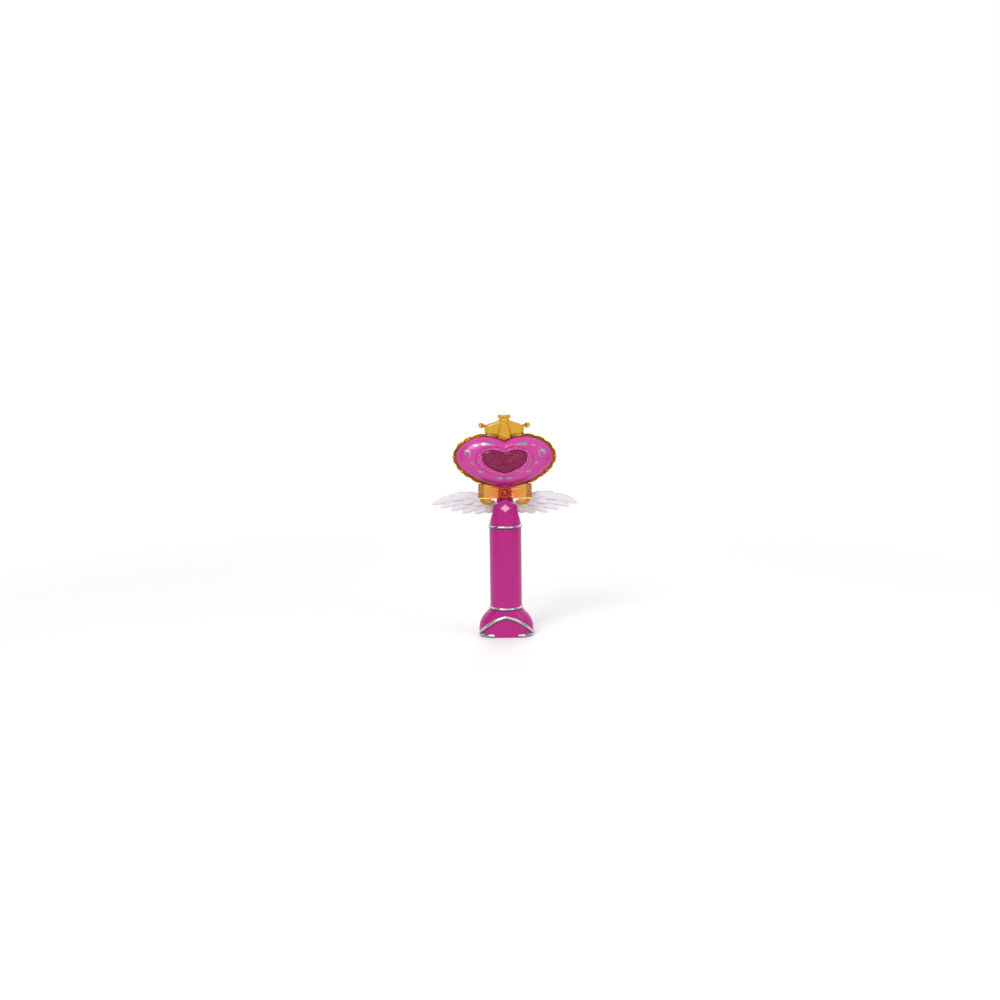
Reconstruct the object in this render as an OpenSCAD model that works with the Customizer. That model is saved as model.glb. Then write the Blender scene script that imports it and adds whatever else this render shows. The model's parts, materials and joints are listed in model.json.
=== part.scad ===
// Light-up toy wand: a puffy heart head with a crown, a bow and two wings on a tube handle.
// It stands on its foot at z = 0. The front faces -Y and +X is to its right as seen from there.

/* [Grip] */
// Outer diameter of the tube grip
grip_d = 34.6; // [32:0.2:44]
// Length of the tube between the two rings
grip_len = 85.6; // [80:0.2:120]
// Wall of the handle's shells
grip_wall = 2; // [1.4:0.1:2.4]
// Outer diameter of the two chrome rings
ring_d = 37.6; // [36:0.2:52]
// Height of each ring
ring_h = 3.3; // [2:0.1:6]
// Length of the spigots on which the grip and the rings sit
spigot_len = 5; // [3:0.5:7]

/* [Neck] */
// Width of the neck above its taper
neck_top_w = 25.6; // [22:0.2:30]
// Height of the taper
neck_taper_h = 16.6; // [12:0.2:24]
// Height of the upright sides above the taper
neck_side_h = 5.2; // [4:0.2:10]
// Height of the gable above the sides
gable_h = 7.3; // [5:0.1:10]
// Diameter of the stem that carries the head
stem_d = 18; // [14:0.2:22]
// Wall of the stem
stem_wall = 2; // [1.4:0.1:3]
// Length of the stem inside the head
stem_in_head = 11; // [8:0.5:14]

/* [Foot] */
// Height of the flared foot below the lower ring
foot_h = 29.4; // [24:0.2:40]
// Greatest width of the foot
foot_w = 59.6; // [50:0.2:80]
// Greatest depth of the foot
foot_depth = 37; // [36:0.2:60]
// Thickness of the foot's floor
foot_floor = 2.4; // [1.5:0.1:4]
// Width of the chrome trim on the foot
trim_w = 3.4; // [2:0.1:5]
// Thickness of the trim
trim_t = 1.1; // [0.8:0.1:2]

/* [Heart] */
// Width of the pink heart
heart_w = 104; // [90:1:130]
// Height of the lobes above the heart's centre
heart_top_h = 26.5; // [24:0.5:34]
// Height of the cleft above the centre
heart_cleft_h = 21.3; // [19:0.1:22.5]
// Height of the widest place above the centre
heart_side_h = 4.5; // [2:0.5:8]
// Depth of the tip below the centre
heart_tip_h = 27.4; // [26:0.2:36]
// How far the face swells forward of the rim
face_depth = 12.2; // [10:0.2:18]
// How far the back swells behind the rim
back_depth = 12.2; // [12:0.2:18]
// Thickness of the gold rim between the shells
rim_t = 3; // [2:0.1:5]
// How far the rim stands out past the heart
rim_w = 3.9; // [3:0.1:6]
// Diameter of the balls on the rim
bead_d = 4.4; // [3:0.1:5.5]

/* [Lens] */
// How far the lens swells forward
lens_rise = 2.2; // [1:0.1:4]
// Thickness of the lens at its edge
lens_t = 1.6; // [1:0.1:2]
// Thickness of the pebbled border
bezel_t = 2; // [1.2:0.1:2.6]

/* [Crown] */
// Width of the crown's body
crown_w = 42.4; // [34:0.2:52]
// Height of the crown's body above the heart's lobes
crown_h = 17.2; // [14:0.2:26]
// Depth of the crown's body
crown_depth = 11; // [8:0.2:16]
// Diameter of the balls at the crown's ends
crown_ball_d = 6.2; // [4:0.1:9]
// Diameter of the knob on top
knob_d = 14.2; // [10:0.2:18]
// Height of the knob
knob_h = 5.8; // [4:0.1:9]

/* [Bow] */
// Width of the bow
bow_w = 56.6; // [46:0.2:70]
// Height of the loops at their outer ends
bow_loop_h = 16.4; // [12:0.2:20]
// Depth of the loops
bow_depth = 9; // [6:0.2:12]
// Diameter of the ringed knot
knot_d = 13; // [8:0.2:14]
// Gap between the gable and the heart's tip, where the bow sits
bow_gap = 12.2; // [12:0.2:18]
// Thickness of the rolled tails
tail_d = 5; // [2:0.1:6]

/* [Wings] */
// Length of each wing from the neck to its tip
wing_len = 65.6; // [50:0.2:90]
// Height of each wing
wing_h = 23.6; // [18:0.2:32]
// Thickness of one feather
feather_t = 2; // [1.4:0.1:3]
// How far each feather lies behind the one above it
feather_step = 0.5; // [0.3:0.05:0.8]
// Thickness of the root tab that the neck traps
wing_tab_t = 3; // [2:0.1:4]
// Height of the root tab
wing_tab_h = 7; // [5:0.1:9]

/* [Button] */
// Width of the diamond button
button_w = 10.8; // [8:0.2:12]
// Height of the diamond button
button_h = 8.8; // [7:0.2:10]
// How far the button stands out of the neck
button_proud = 1.4; // [1:0.1:2.5]
// Travel of the button
button_travel = 1.5; // [0.8:0.1:1.8]
// Diameter of the plunger behind the button
plunger_d = 2.6; // [2:0.1:3.4]
// Wire diameter of the return spring
spring_wire_d = 0.6; // [0.4:0.05:0.7]
// Turns of the return spring
spring_turns = 4; // [3:1:5]

/* [Batteries] */
// Diameter of a cell
cell_d = 14.4; // [14:0.1:14.5]
// Length of a cell without its nub
cell_len = 49.4; // [48:0.1:50]
// Diameter of the cell's nub
cell_nub_d = 5.4; // [4:0.1:5.5]
// Height of the cell's nub
cell_nub_h = 1.1; // [0.8:0.1:1.5]
// Room for the contact springs at each end of the cells
contact_room = 3.2; // [2.6:0.1:4]
// Thickness of the contact plates
contact_t = 0.5; // [0.3:0.1:0.8]
// Length of each end block that carries a cover screw
end_block_len = 6; // [5:0.2:7]

/* [Circuit] */
// Thickness of the circuit boards
board_t = 1.6; // [1:0.1:2]
// Diameter of the epoxy blob over the chip
blob_d = 8; // [5:0.5:10]
// Diameter of the lamp
led_d = 5; // [3:0.1:6]
// Diameter of the wires
wire_d = 1.2; // [0.8:0.1:1.4]
// Diameter of the speaker
speaker_d = 27; // [22:0.5:28]
// Depth of the speaker
speaker_depth = 9; // [7:0.2:9.5]

/* [Screws] */
// Diameter of a screw's head
screw_head_d = 4.4; // [3.6:0.1:5]
// Diameter of a screw's shank
screw_d = 2; // [1.6:0.1:2.4]
// Height of a screw's head
screw_head_h = 1.5; // [1:0.1:2]

/* [Fits] */
// Gap round pieces that are assembled and don't move
seat_gap = 0.15; // [0.1:0.05:0.3]
// Radial gap round a turning screw
turn_gap = 0.05; // [0.02:0.01:0.1]
// Gap round the button and the battery cover
slide_gap = 0.25; // [0.15:0.05:0.4]
// How far a cutter runs past what it cuts
overrun = 1; // [0.5:0.1:2]

/* [Hidden] */
$fn = 64;

// Levels, from the floor up
lower_ring_z = foot_h;
grip_z = lower_ring_z + ring_h;
upper_ring_z = grip_z + grip_len;
neck_z = upper_ring_z + ring_h;
taper_top_z = neck_z + neck_taper_h;
eaves_z = taper_top_z + neck_side_h;
ridge_z = eaves_z + gable_h;
heart_z = ridge_z + bow_gap + heart_tip_h;
crown_z = heart_z + heart_top_h;
total_h = crown_z + crown_h + knob_h;
reach = total_h;

// Radii and half widths of the handle
grip_r = grip_d / 2;
grip_in_r = grip_r - grip_wall;
spigot_r = grip_in_r - seat_gap;
spigot_in_r = spigot_r - grip_wall;
stem_r = stem_d / 2;
neck_half_w = neck_top_w / 2;
rim_half_t = rim_t / 2;

// Points on a cubic curve from a to d, without its last point
function curve(a, b, c, d, count) = [for (i = [0:count - 1])
  let (t = i / count, u = 1 - t) u * u * u * a + 3 * u * u * t * b + 3 * u * t * t * c + t * t * t * d];
function mirrored(points) = [for (i = [len(points) - 1:-1:0]) [-points[i][0], points[i][1]]];
function tail(points) = [for (i = [1:len(points) - 1]) points[i]];
function scaled(points, share) = [for (p = points) p * share];
function unit(v) = v / norm(v);
// Front-view outline stood up at depth y, with its own zero at height z
function upright(points, y, z) = [for (p = points) [p[0], y, z + p[1]]];

// Faces that join ring after ring of the same count of points
function wall_faces(rings, count, closed) = [for (i = [0:rings - (closed ? 1 : 2)], j = [0:count - 1])
  let (k = (j + 1) % count, a = i * count, b = (i + 1) % rings * count)
  each [[a + j, b + j, b + k], [a + j, b + k, a + k]]];
function joined(rings) = [for (ring = rings) each ring];
function middle(ring) = [for (i = [0:2]) [for (p = ring) p[i]] * [for (p = ring) 1] / len(ring)];

// Closed solid through rings, each end closed by a fan round its middle
module loft(rings) {
  count = len(rings[0]);
  last = len(rings) - 1;
  foot = count * len(rings);
  ends = [for (j = [0:count - 1]) let (k = (j + 1) % count)
    each [[foot, j, k], [foot + 1, last * count + k, last * count + j]]];
  polyhedron(concat(joined(rings), [middle(rings[0]), middle(rings[last])]),
    concat(wall_faces(len(rings), count, false), ends));
}

// Closed band whose last ring meets its first
module band(rings)
  polyhedron(joined(rings), wall_faces(len(rings), len(rings[0]), true));

// Tube along a route of points, whose sides are set out from an axis that the route never follows
function tube_rings(route, radius, sides, axis) = [for (i = [0:len(route) - 1])
  let (along = unit(route[min(i + 1, len(route) - 1)] - route[max(i - 1, 0)]),
    across = unit(cross(along, axis)), up = cross(along, across))
  [for (j = [0:sides - 1]) let (a = 360 * j / sides)
    route[i] + radius * (cos(a) * across + sin(a) * up)]];
module tube(route, diameter, sides = 8, axis = [0, 1, 0])
  loft(tube_rings(route, diameter / 2, sides, axis));

// Front-view outline carried back from depth y by thickness t
module prism(y, t)
  translate([0, y + t, 0]) rotate([90, 0, 0]) linear_extrude(t) children();
// Cylinder along +Y
module rod(x, y, z, length, diameter)
  translate([x, y, z]) rotate([-90, 0, 0]) cylinder(h = length, d = diameter);
module front_half()
  intersection() {
    children();
    translate([-reach, -reach, -overrun]) cube([2 * reach, reach, 2 * reach]);
  }
module rear_half()
  intersection() {
    children();
    translate([-reach, 0, -overrun]) cube([2 * reach, reach, 2 * reach]);
  }
module both_sides() {
  children();
  mirror([1, 0, 0]) children();
}

// Foot: ellipses from the floor up, each [half-width share, half-depth share, height share]
foot_shares = [[0.93, 0.93, 0], [0.98, 0.98, 0.05], [1, 1, 0.17], [0.985, 1, 0.42], [0.92, 0.985, 0.6],
  [0.81, 0.965, 0.76], [0.67, 0.945, 0.9], [0.58, 0.935, 1]];
foot_points = 48;
foot_fullness = 0.8;
function foot_power(v) = sign(v) * pow(abs(v), foot_fullness);
function foot_ring(shares, grow, z) = [for (j = [0:foot_points - 1]) let (a = 360 * j / foot_points)
  [(shares[0] * foot_w / 2 + grow) * foot_power(cos(a)),
    (shares[1] * foot_depth / 2 + grow) * foot_power(sin(a)), z]];
module foot_form(grow)
  loft([for (s = foot_shares) foot_ring(s, grow, s[2] * foot_h)]);

foot_screw_x = foot_w / 4;
foot_screw_z = foot_h / 3;
foot_boss_d = screw_d + 2 * grip_wall;

foot_cavity_h = foot_h - grip_wall - foot_floor;
module foot_shell()
  difference() {
    union() {
      foot_form(0);
      translate([0, 0, foot_h - overrun]) cylinder(h = overrun + ring_h + spigot_len, r = spigot_r);
    }
    difference() {
      loft([for (s = foot_shares) foot_ring(s, -grip_wall, foot_floor + s[2] * foot_cavity_h)]);
      both_sides() rod(foot_screw_x, -reach, foot_screw_z, 2 * reach, foot_boss_d);
    }
    translate([0, 0, foot_h - grip_wall - overrun])
      cylinder(h = grip_wall + ring_h + spigot_len + 2 * overrun, r = spigot_in_r);
    block_room();
  }

// Self-tapping screw along -Y, with the underside of its head at y
module screw(x, y, z, length) {
  rod(x, y, z, screw_head_h, screw_head_d);
  rod(x, y - length, z, length + screw_head_h, screw_d);
}
// Well for a screw: its head's bore from the rear, then the shank's bore forward
module screw_bore(x, y, z, length) {
  rod(x, y, z, reach, screw_head_d + 2 * seat_gap);
  rod(x, y - length, z, length + overrun, screw_d + 2 * turn_gap);
}

foot_screw_len = foot_depth / 4;
foot_head_y = foot_depth / 6;
module foot_screw_bores()
  both_sides() screw_bore(foot_screw_x, foot_head_y, foot_screw_z, foot_screw_len);
module pommel_front()
  color("mediumvioletred") front_half() difference() {
    foot_shell();
    foot_screw_bores();
  }
module pommel_rear()
  color("mediumvioletred") rear_half() difference() {
    foot_shell();
    foot_screw_bores();
  }

// Trim: an inverted chevron whose arms end in feet that curl along the floor
trim_apex_share = 0.79;
trim_toe_share = 0.19;
trim_steps = 6;
trim_apex_z = trim_apex_share * foot_h;
trim_toe_x = trim_toe_share * foot_w;
trim_out_x = foot_w / 2 + trim_t;
trim_in_x = foot_w / 2 - 2 * trim_w;
// Heights of the arms' two bends, as shares of the apex's
trim_bend_shares = [0.56, 0.36];
trim_in_z = trim_apex_z - norm([1, trim_bend_shares[0]]) * trim_w;
function trim_arm(x, top_z, low_z) = curve([0, top_z], [x / 2, trim_bend_shares[0] * top_z + low_z / 4],
  [x, trim_bend_shares[1] * top_z + low_z / 2], [x, low_z], trim_steps);
trim_toe_r = trim_w / 3;
trim_outer = trim_arm(trim_out_x, trim_apex_z, trim_w);
trim_right = concat(trim_arm(trim_in_x, trim_in_z, 2 * trim_w),
  curve([trim_in_x, 2 * trim_w], [trim_in_x, trim_w], [trim_in_x - trim_toe_r, trim_w / 2],
    [trim_in_x - trim_w, trim_w / 2], trim_steps),
  [[trim_toe_x + trim_toe_r, trim_w - trim_toe_r], [trim_toe_x, trim_w / 2], [trim_toe_x, 0],
    [trim_out_x, 0], [trim_out_x, trim_w]],
  [for (i = [trim_steps - 1:-1:1]) trim_outer[i]]);
module trim_outline()
  polygon(concat(trim_right, [[0, trim_apex_z]], mirrored(tail(trim_right))));
module pommel_trim()
  color("silver") difference() {
    intersection() {
      foot_form(trim_t);
      prism(-reach, reach - 2 * trim_w) trim_outline();
    }
    foot_form(0);
  }

module ring(z)
  translate([0, 0, z]) rotate_extrude() difference() {
    union() {
      translate([spigot_r + seat_gap, 0]) square([grip_r - spigot_r - seat_gap, ring_h]);
      translate([ring_d / 2 - ring_h / 2, ring_h / 2]) circle(d = ring_h);
    }
    translate([0, -overrun]) square([spigot_r + seat_gap, ring_h + 2 * overrun]);
  }
module lower_ring()
  color("silver") ring(lower_ring_z);
module upper_ring()
  color("silver") ring(upper_ring_z);

// Cells side by side, a little behind the middle, with an end block above and below them
cell_x = cell_d / 2 + seat_gap;
cell_y = grip_wall;
bay_len = cell_len + cell_nub_h + 2 * contact_room + 2 * contact_t;
bay_z = grip_z + (grip_len - bay_len) / 2;
bay_top_z = bay_z + bay_len;
cell_z = bay_z + contact_t + contact_room;
// Cover between straight sides, so that it lifts off to the rear
cover_half_w = cell_d + 3 * seat_gap;
cover_z = bay_z - end_block_len;
cover_len = bay_len + 2 * end_block_len;
block_top_y = grip_in_r - 2 * grip_wall;
cover_screw_y = block_top_y + grip_wall / 2;
cover_screw_len = grip_in_r / 2;
cover_screw_zs = [bay_z - end_block_len / 2, bay_top_z + end_block_len / 2];

module grip_tube()
  translate([0, 0, grip_z]) difference() {
    cylinder(h = grip_len, r = grip_r);
    translate([0, 0, -overrun]) cylinder(h = grip_len + 2 * overrun, r = grip_in_r);
  }
module cover_window(gap)
  translate([-cover_half_w - gap, 0, cover_z - gap])
    cube([2 * (cover_half_w + gap), reach, cover_len + 2 * gap]);
module grip_front()
  color("mediumvioletred") front_half() grip_tube();
// Each block joins the tube's wall below the cover's straight edges and lies under the cover above them
block_foot_y = sqrt(pow(grip_in_r, 2) - pow(cover_half_w, 2)) - seat_gap;
module block_layer(r, top_y)
  for (z = [cover_z, bay_top_z])
    intersection() {
      translate([0, 0, z]) cylinder(h = end_block_len, r = r);
      translate([-reach, 0, z]) cube([2 * reach, top_y, end_block_len]);
    }
// Room that the spigots leave for the blocks and the cover's bosses on them
module block_room()
  for (z = [cover_z, bay_top_z])
    translate([-reach, -seat_gap, z - seat_gap]) cube([2 * reach, reach, end_block_len + 2 * seat_gap]);
module end_blocks() {
  block_layer(grip_in_r - seat_gap, block_top_y);
  block_layer(grip_r - grip_wall / 2, block_foot_y);
}
module grip_rear()
  color("mediumvioletred") difference() {
    union() {
      difference() {
        rear_half() grip_tube();
        cover_window(slide_gap);
      }
      end_blocks();
    }
    for (z = cover_screw_zs)
      rod(0, cover_screw_y - cover_screw_len - overrun, z, reach, screw_d + 2 * turn_gap);
    both_sides() wire_slot();
  }
// Slot through the upper end block for the battery leads
module wire_slot()
  translate([cell_x - wire_d, -overrun, bay_top_z - overrun])
    cube([2 * wire_d, overrun + 2 * wire_d, end_block_len + 2 * overrun]);
module battery_cover()
  color("mediumvioletred") difference() {
    union() {
      intersection() {
        rear_half() grip_tube();
        cover_window(0);
      }
      for (z = cover_screw_zs)
        rod(0, block_top_y + seat_gap, z, grip_r - grip_wall / 2 - block_top_y - seat_gap,
          end_block_len - slide_gap);
    }
    for (z = cover_screw_zs)
      screw_bore(0, cover_screw_y, z, cover_screw_len);
  }
module cover_screw(z)
  color("silver") difference() {
    screw(0, cover_screw_y + turn_gap, z, cover_screw_len);
    screw_slots(0, cover_screw_y + turn_gap, z);
  }
module cover_screw_lower()
  cover_screw(cover_screw_zs[0]);
module cover_screw_upper()
  cover_screw(cover_screw_zs[1]);
// Cross slot in a screw's head
slot_w = screw_d / 4;
slot_len_share = 1.5;
slot_len = slot_len_share * screw_d;
module screw_slots(x, y, z)
  for (turn = [0, 90])
    translate([x, y + screw_head_h, z]) rotate([0, turn, 0])
      cube([slot_len, screw_head_h, slot_w], center = true);

module cell(side)
  translate([side * cell_x, cell_y, cell_z]) {
    translate([0, 0, side > 0 ? cell_nub_h : 0]) cylinder(h = cell_len, d = cell_d);
    translate([0, 0, side > 0 ? 0 : cell_len - overrun]) cylinder(h = cell_nub_h + overrun, d = cell_nub_d);
  }
module battery_left()
  color("darkolivegreen") cell(-1);
module battery_right()
  color("darkolivegreen") cell(1);

// Contacts: plates against the end blocks, with a dome for a nub and a coil for a flat end
contact_half_w = cell_d / 3;
contact_h_share = 0.6;
contact_h = contact_h_share * cell_d;
coil_turns = 3;
coil_steps = 8;
coil_sides = 6;
coil_wire_d = contact_t;
coil_r = contact_half_w - coil_wire_d;
coil_taper_share = 0.35;
coil_rise = contact_room - coil_wire_d - seat_gap;
// Conical coil from the plate towards the cell
function coil(x, z, rise) = [for (i = [0:coil_turns * coil_steps])
  let (a = 360 * i / coil_steps, f = i / (coil_turns * coil_steps), r = coil_r * (1 - coil_taper_share * f))
  [x + r * cos(a), cell_y + r * sin(a), z + rise * (coil_wire_d / 2 - turn_gap + f * coil_rise)]];
module contact_plate(x, half_w, z)
  translate([x - half_w, cell_y - contact_h / 2, z]) cube([2 * half_w, contact_h, contact_t]);
module contact_dome(x, z, rise)
  translate([x, cell_y, z]) rotate([rise > 0 ? 0 : 180, 0, 0])
    cylinder(h = contact_room - seat_gap, d1 = cell_nub_d, d2 = cell_nub_d / 2);
module bridge_contact()
  color("silver") {
    contact_plate(0, cell_x + contact_half_w, bay_z);
    contact_dome(cell_x, bay_z + contact_t / 2, 1);
    tube(coil(-cell_x, bay_z + contact_t, 1), coil_wire_d, coil_sides, [0, 0, 1]);
  }
module positive_contact()
  color("silver") {
    contact_plate(-cell_x, contact_half_w, bay_top_z - contact_t);
    contact_dome(-cell_x, bay_top_z - contact_t / 2, -1);
  }
module negative_contact()
  color("silver") {
    contact_plate(cell_x, contact_half_w, bay_top_z - contact_t);
    tube(coil(cell_x, bay_top_z - contact_t, -1), coil_wire_d, coil_sides, [0, 0, 1]);
  }

// Neck: a house-shaped front view cut from the round of the handle, open inside
function house(inset, foot_z) =
  let (w = neck_half_w - inset, roof = gable_h * w / neck_half_w, base = grip_r - inset)
  [[-base, foot_z], [base, foot_z], [w, taper_top_z], [w, eaves_z], [0, eaves_z + roof],
    [-w, eaves_z], [-w, taper_top_z]];
module neck_block(inset, foot_z)
  intersection() {
    prism(-reach, 2 * reach) polygon(house(inset, foot_z));
    cylinder(h = reach, r = grip_r - inset);
  }
stem_top_z = ridge_z + bow_gap + stem_in_head;
stem_z = taper_top_z;
// Collar on the stem's end, which the heart's shells trap
collar_r = stem_r + stem_wall / 2;
module neck_shell()
  difference() {
    union() {
      neck_block(0, neck_z);
      translate([0, 0, upper_ring_z - spigot_len])
        cylinder(h = spigot_len + ring_h + overrun, r = spigot_r);
      translate([0, 0, stem_z]) cylinder(h = stem_top_z - stem_z, r = stem_r);
      translate([0, 0, stem_top_z - stem_wall]) cylinder(h = stem_wall, r = collar_r);
    }
    neck_block(grip_wall, neck_z + grip_wall);
    translate([0, 0, upper_ring_z - spigot_len - overrun])
      cylinder(h = spigot_len + ring_h + 2 * grip_wall, r = spigot_in_r);
    translate([0, 0, stem_z]) cylinder(h = reach, r = stem_r - stem_wall);
    block_room();
  }

neck_screw_z = neck_z + 2 * grip_wall;
neck_screw_x = spigot_in_r - grip_wall;
neck_boss_d = screw_d + 2 * grip_wall;
neck_screw_len = grip_r / 2;
neck_head_y = grip_r / 3;
module neck_bosses()
  intersection() {
    both_sides() rod(neck_screw_x, -reach, neck_screw_z, 2 * reach, neck_boss_d);
    neck_block(grip_wall / 2, neck_z);
  }
module neck_screw_bores()
  both_sides() screw_bore(neck_screw_x, neck_head_y, neck_screw_z, neck_screw_len);
module handle_screws()
  color("silver") both_sides() {
    screw(neck_screw_x, neck_head_y + turn_gap, neck_screw_z, neck_screw_len - overrun);
    screw(foot_screw_x, foot_head_y + turn_gap, foot_screw_z, foot_screw_len - overrun);
  }

// Button: a bevelled diamond in a window of the neck
button_z = (taper_top_z + eaves_z) / 2;
button_face_y = -grip_r - button_proud;
button_bevel = button_proud;
function diamond(grow) = let (w = button_w / 2 + grow, h = button_h / 2 + grow)
  [[0, button_z - h], [w, button_z], [0, button_z + h], [-w, button_z]];
flange_grow = grip_wall / 2;
flange_t = grip_wall / 2;
// The flange lies behind the curved wall at its own widest place
flange_y = seat_gap - sqrt(pow(grip_in_r, 2) - pow(button_w / 2 + flange_grow, 2));
spring_y = flange_y + flange_t;
board_y = -grip_r / 3;
pill_t = grip_wall / 4;
pill_y = board_y - button_travel - seat_gap - pill_t;
module diamond_button()
  color("lightpink") {
    loft([for (s = [[0, flange_y], [0, button_face_y + button_bevel], [-button_bevel, button_face_y]])
      [for (p = diamond(s[0])) [p[0], s[1], p[1]]]]);
    prism(flange_y, flange_t) polygon(diamond(flange_grow));
    rod(0, flange_y, button_z, pill_y - flange_y, plunger_d);
  }
module contact_pill()
  color("dimgray") rod(0, pill_y, button_z, pill_t, plunger_d);

// Return spring: one wire wound between the button's flange and the board
spring_r = plunger_d / 2 + spring_wire_d;
spring_steps = 8;
spring_sides = 6;
spring_span = board_y - spring_y - spring_wire_d - 2 * seat_gap;
spring_route = [for (i = [0:spring_turns * spring_steps]) let (a = 360 * i / spring_steps)
  [spring_r * cos(a),
    spring_y + seat_gap + spring_wire_d / 2 + spring_span * i / (spring_turns * spring_steps),
    button_z + spring_r * sin(a)]];
module button_spring() {
  echo(least_gap_between_turns = spring_span / spring_turns - spring_wire_d);
  color("silver") tube(spring_route, spring_wire_d, spring_sides);
}

post_d = 2 * grip_wall;
post_x = neck_half_w / 2 + grip_wall / 2;
post_z = neck_screw_z + neck_boss_d / 2 + post_d / 2 + grip_wall;
post_y = -sqrt(pow(grip_r - grip_wall / 2, 2) - pow(post_x, 2));
board_foot_z = post_z - post_d / 2;
module neck_front()
  color("mediumvioletred") {
    front_half() difference() {
      union() {
        neck_shell();
        neck_bosses();
      }
      neck_screw_bores();
      prism(-reach, reach - grip_r / 2) polygon(diamond(slide_gap));
    }
    both_sides() rod(post_x, post_y, post_z, board_y - post_y, post_d);
  }
// The wings' root tabs pass through slots in the rear half's edges
wing_tab_z = eaves_z - wing_tab_h;
module neck_rear()
  color("mediumvioletred") rear_half() difference() {
    union() {
      neck_shell();
      neck_bosses();
    }
    neck_screw_bores();
    both_sides() translate([stem_r + seat_gap, -overrun, wing_tab_z - seat_gap])
      cube([reach, overrun + wing_tab_t + seat_gap, wing_tab_h + 2 * seat_gap]);
  }

// Circuit board: follows the neck's inside, with parts on its rear
board_inset = grip_wall + 2 * seat_gap;
board_rear_y = board_y + board_t;
module circuit_board()
  color("seagreen") intersection() {
    prism(board_y, board_t) polygon(house(board_inset, neck_z));
    translate([-reach, -reach, board_foot_z]) cube([2 * reach, 2 * reach, reach]);
  }
module chip_blob()
  color("black") translate([0, board_rear_y, taper_top_z]) rotate([-90, 0, 0])
    rotate_extrude() intersection() {
      translate([0, -blob_d / 2]) circle(d = sqrt(2) * blob_d);
      square(blob_d / 2);
    }
resistor_d = 2 * wire_d;
resistor_len = 2 * resistor_d;
resistor_z = taper_top_z - blob_d / 2 + resistor_d;
module resistors()
  color("tan") both_sides() translate([resistor_len + wire_d, board_rear_y + resistor_d / 2, resistor_z])
    cylinder(h = resistor_len, d = resistor_d);

// Heart: three curves a side, from the tip round to the cleft, as [width share, height share]
heart_half_w = heart_w / 2;
tip_pull_shares = [0.5, 0.95];
hip_pull_shares = [1, 0.31];
shoulder_pull_shares = [1, 0.62];
lobe_pull_shares = [0.72, 1];
lobe_top_share = 0.38;
crest_pull_share = 0.25;
cleft_pull_shares = [0.115, 0.93];
heart_tip = [0, -heart_tip_h];
heart_side = [heart_half_w, heart_side_h];
heart_crest = [lobe_top_share * heart_half_w, heart_top_h];
heart_cleft = [0, heart_cleft_h];
function heart_pull(shares, h) = [shares[0] * heart_half_w, shares[1] * h];
function heart_right(k) = concat(
  curve(heart_tip, heart_pull(tip_pull_shares, -heart_tip_h), heart_pull(hip_pull_shares, -heart_tip_h),
    heart_side, 6 * k),
  curve(heart_side, heart_pull(shoulder_pull_shares, heart_top_h), heart_pull(lobe_pull_shares, heart_top_h),
    heart_crest, 4 * k),
  curve(heart_crest, [crest_pull_share * heart_half_w, heart_top_h],
    heart_pull(cleft_pull_shares, heart_top_h), heart_cleft, 2 * k));
function heart(k) = let (right = heart_right(k)) concat(right, [heart_cleft], mirrored(tail(right)));
heart_outline = heart(3);
heart_plain = heart(2);

// Rings of a shell as [outline share, depth share], from the rim to the middle and back inside
face_shares = [[1, 0], [0.992, 0.2], [0.965, 0.42], [0.91, 0.64], [0.83, 0.82], [0.74, 0.94], [0.66, 1],
  [0.6, 0.99], [0.575, 0.94]];
face_inner_shares = [[0.575, 0.8], [0.64, 0.85], [0.74, 0.79], [0.83, 0.66], [0.89, 0.48], [0.93, 0.24],
  [0.935, 0]];
function face_ring(outline, s, depth) = upright(scaled(outline, s[0]), -rim_half_t - s[1] * depth, heart_z);

head_screw_shares = [[0.68, 0.1], [0.34, -0.5]];
head_boss_d = screw_d + grip_wall;
head_boss_share = 0.9;
head_screw_len = face_depth / 2;
head_head_y = rim_half_t + screw_head_h;
module at_head_screws()
  both_sides() for (s = head_screw_shares)
    translate([s[0] * heart_half_w, 0, heart_z + s[1] * heart_tip_h]) children();
module stem_hole(gap)
  translate([0, 0, ridge_z]) cylinder(h = stem_top_z - stem_wall - ridge_z - seat_gap, r = stem_r + gap);

module heart_face()
  color("orchid") difference() {
    union() {
      band([for (s = concat(face_shares, face_inner_shares)) face_ring(heart_outline, s, face_depth)]);
      at_head_screws() rod(0, -rim_half_t - head_boss_share * face_depth, 0,
        rim_half_t + head_boss_share * face_depth, head_boss_d);
    }
    at_head_screws() rod(0, head_head_y - head_screw_len, 0, reach, screw_d + 2 * turn_gap);
    stem_hole(seat_gap);
  }

grille_r = speaker_d / 2 - grip_wall;
back_shares = [[1, 0], [0.992, 0.2], [0.965, 0.42], [0.91, 0.64], [0.83, 0.82], [0.74, 0.94], [0.68, 0.985]];
back_inner_shares = [[0.68, 0.83], [0.75, 0.78], [0.83, 0.66], [0.89, 0.48], [0.93, 0.24], [0.935, 0]];
function grille_ring(depth_share) = [for (p = heart_plain)
  let (q = unit(p) * grille_r) [q[0], -rim_half_t - depth_share * back_depth, heart_z + q[1]]];
back_inner_share = 0.85;
grille_front_y = rim_half_t + back_inner_share * back_depth;
grille_t_share = 0.09;
grille_t = grille_t_share * back_depth;
grille_hole_d = grip_wall;
grille_rows = 3;
grille_margin_share = 0.8;
grille_pitch = grille_r / (grille_rows + grille_margin_share);
module grille_holes()
  for (row = [0:grille_rows], i = [0:max(0, 6 * row - 1)])
    let (a = row == 0 ? 0 : 60 * i / row, r = row * grille_pitch)
      rod(r * cos(a), 0, heart_z + r * sin(a), reach, grille_hole_d);
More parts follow.
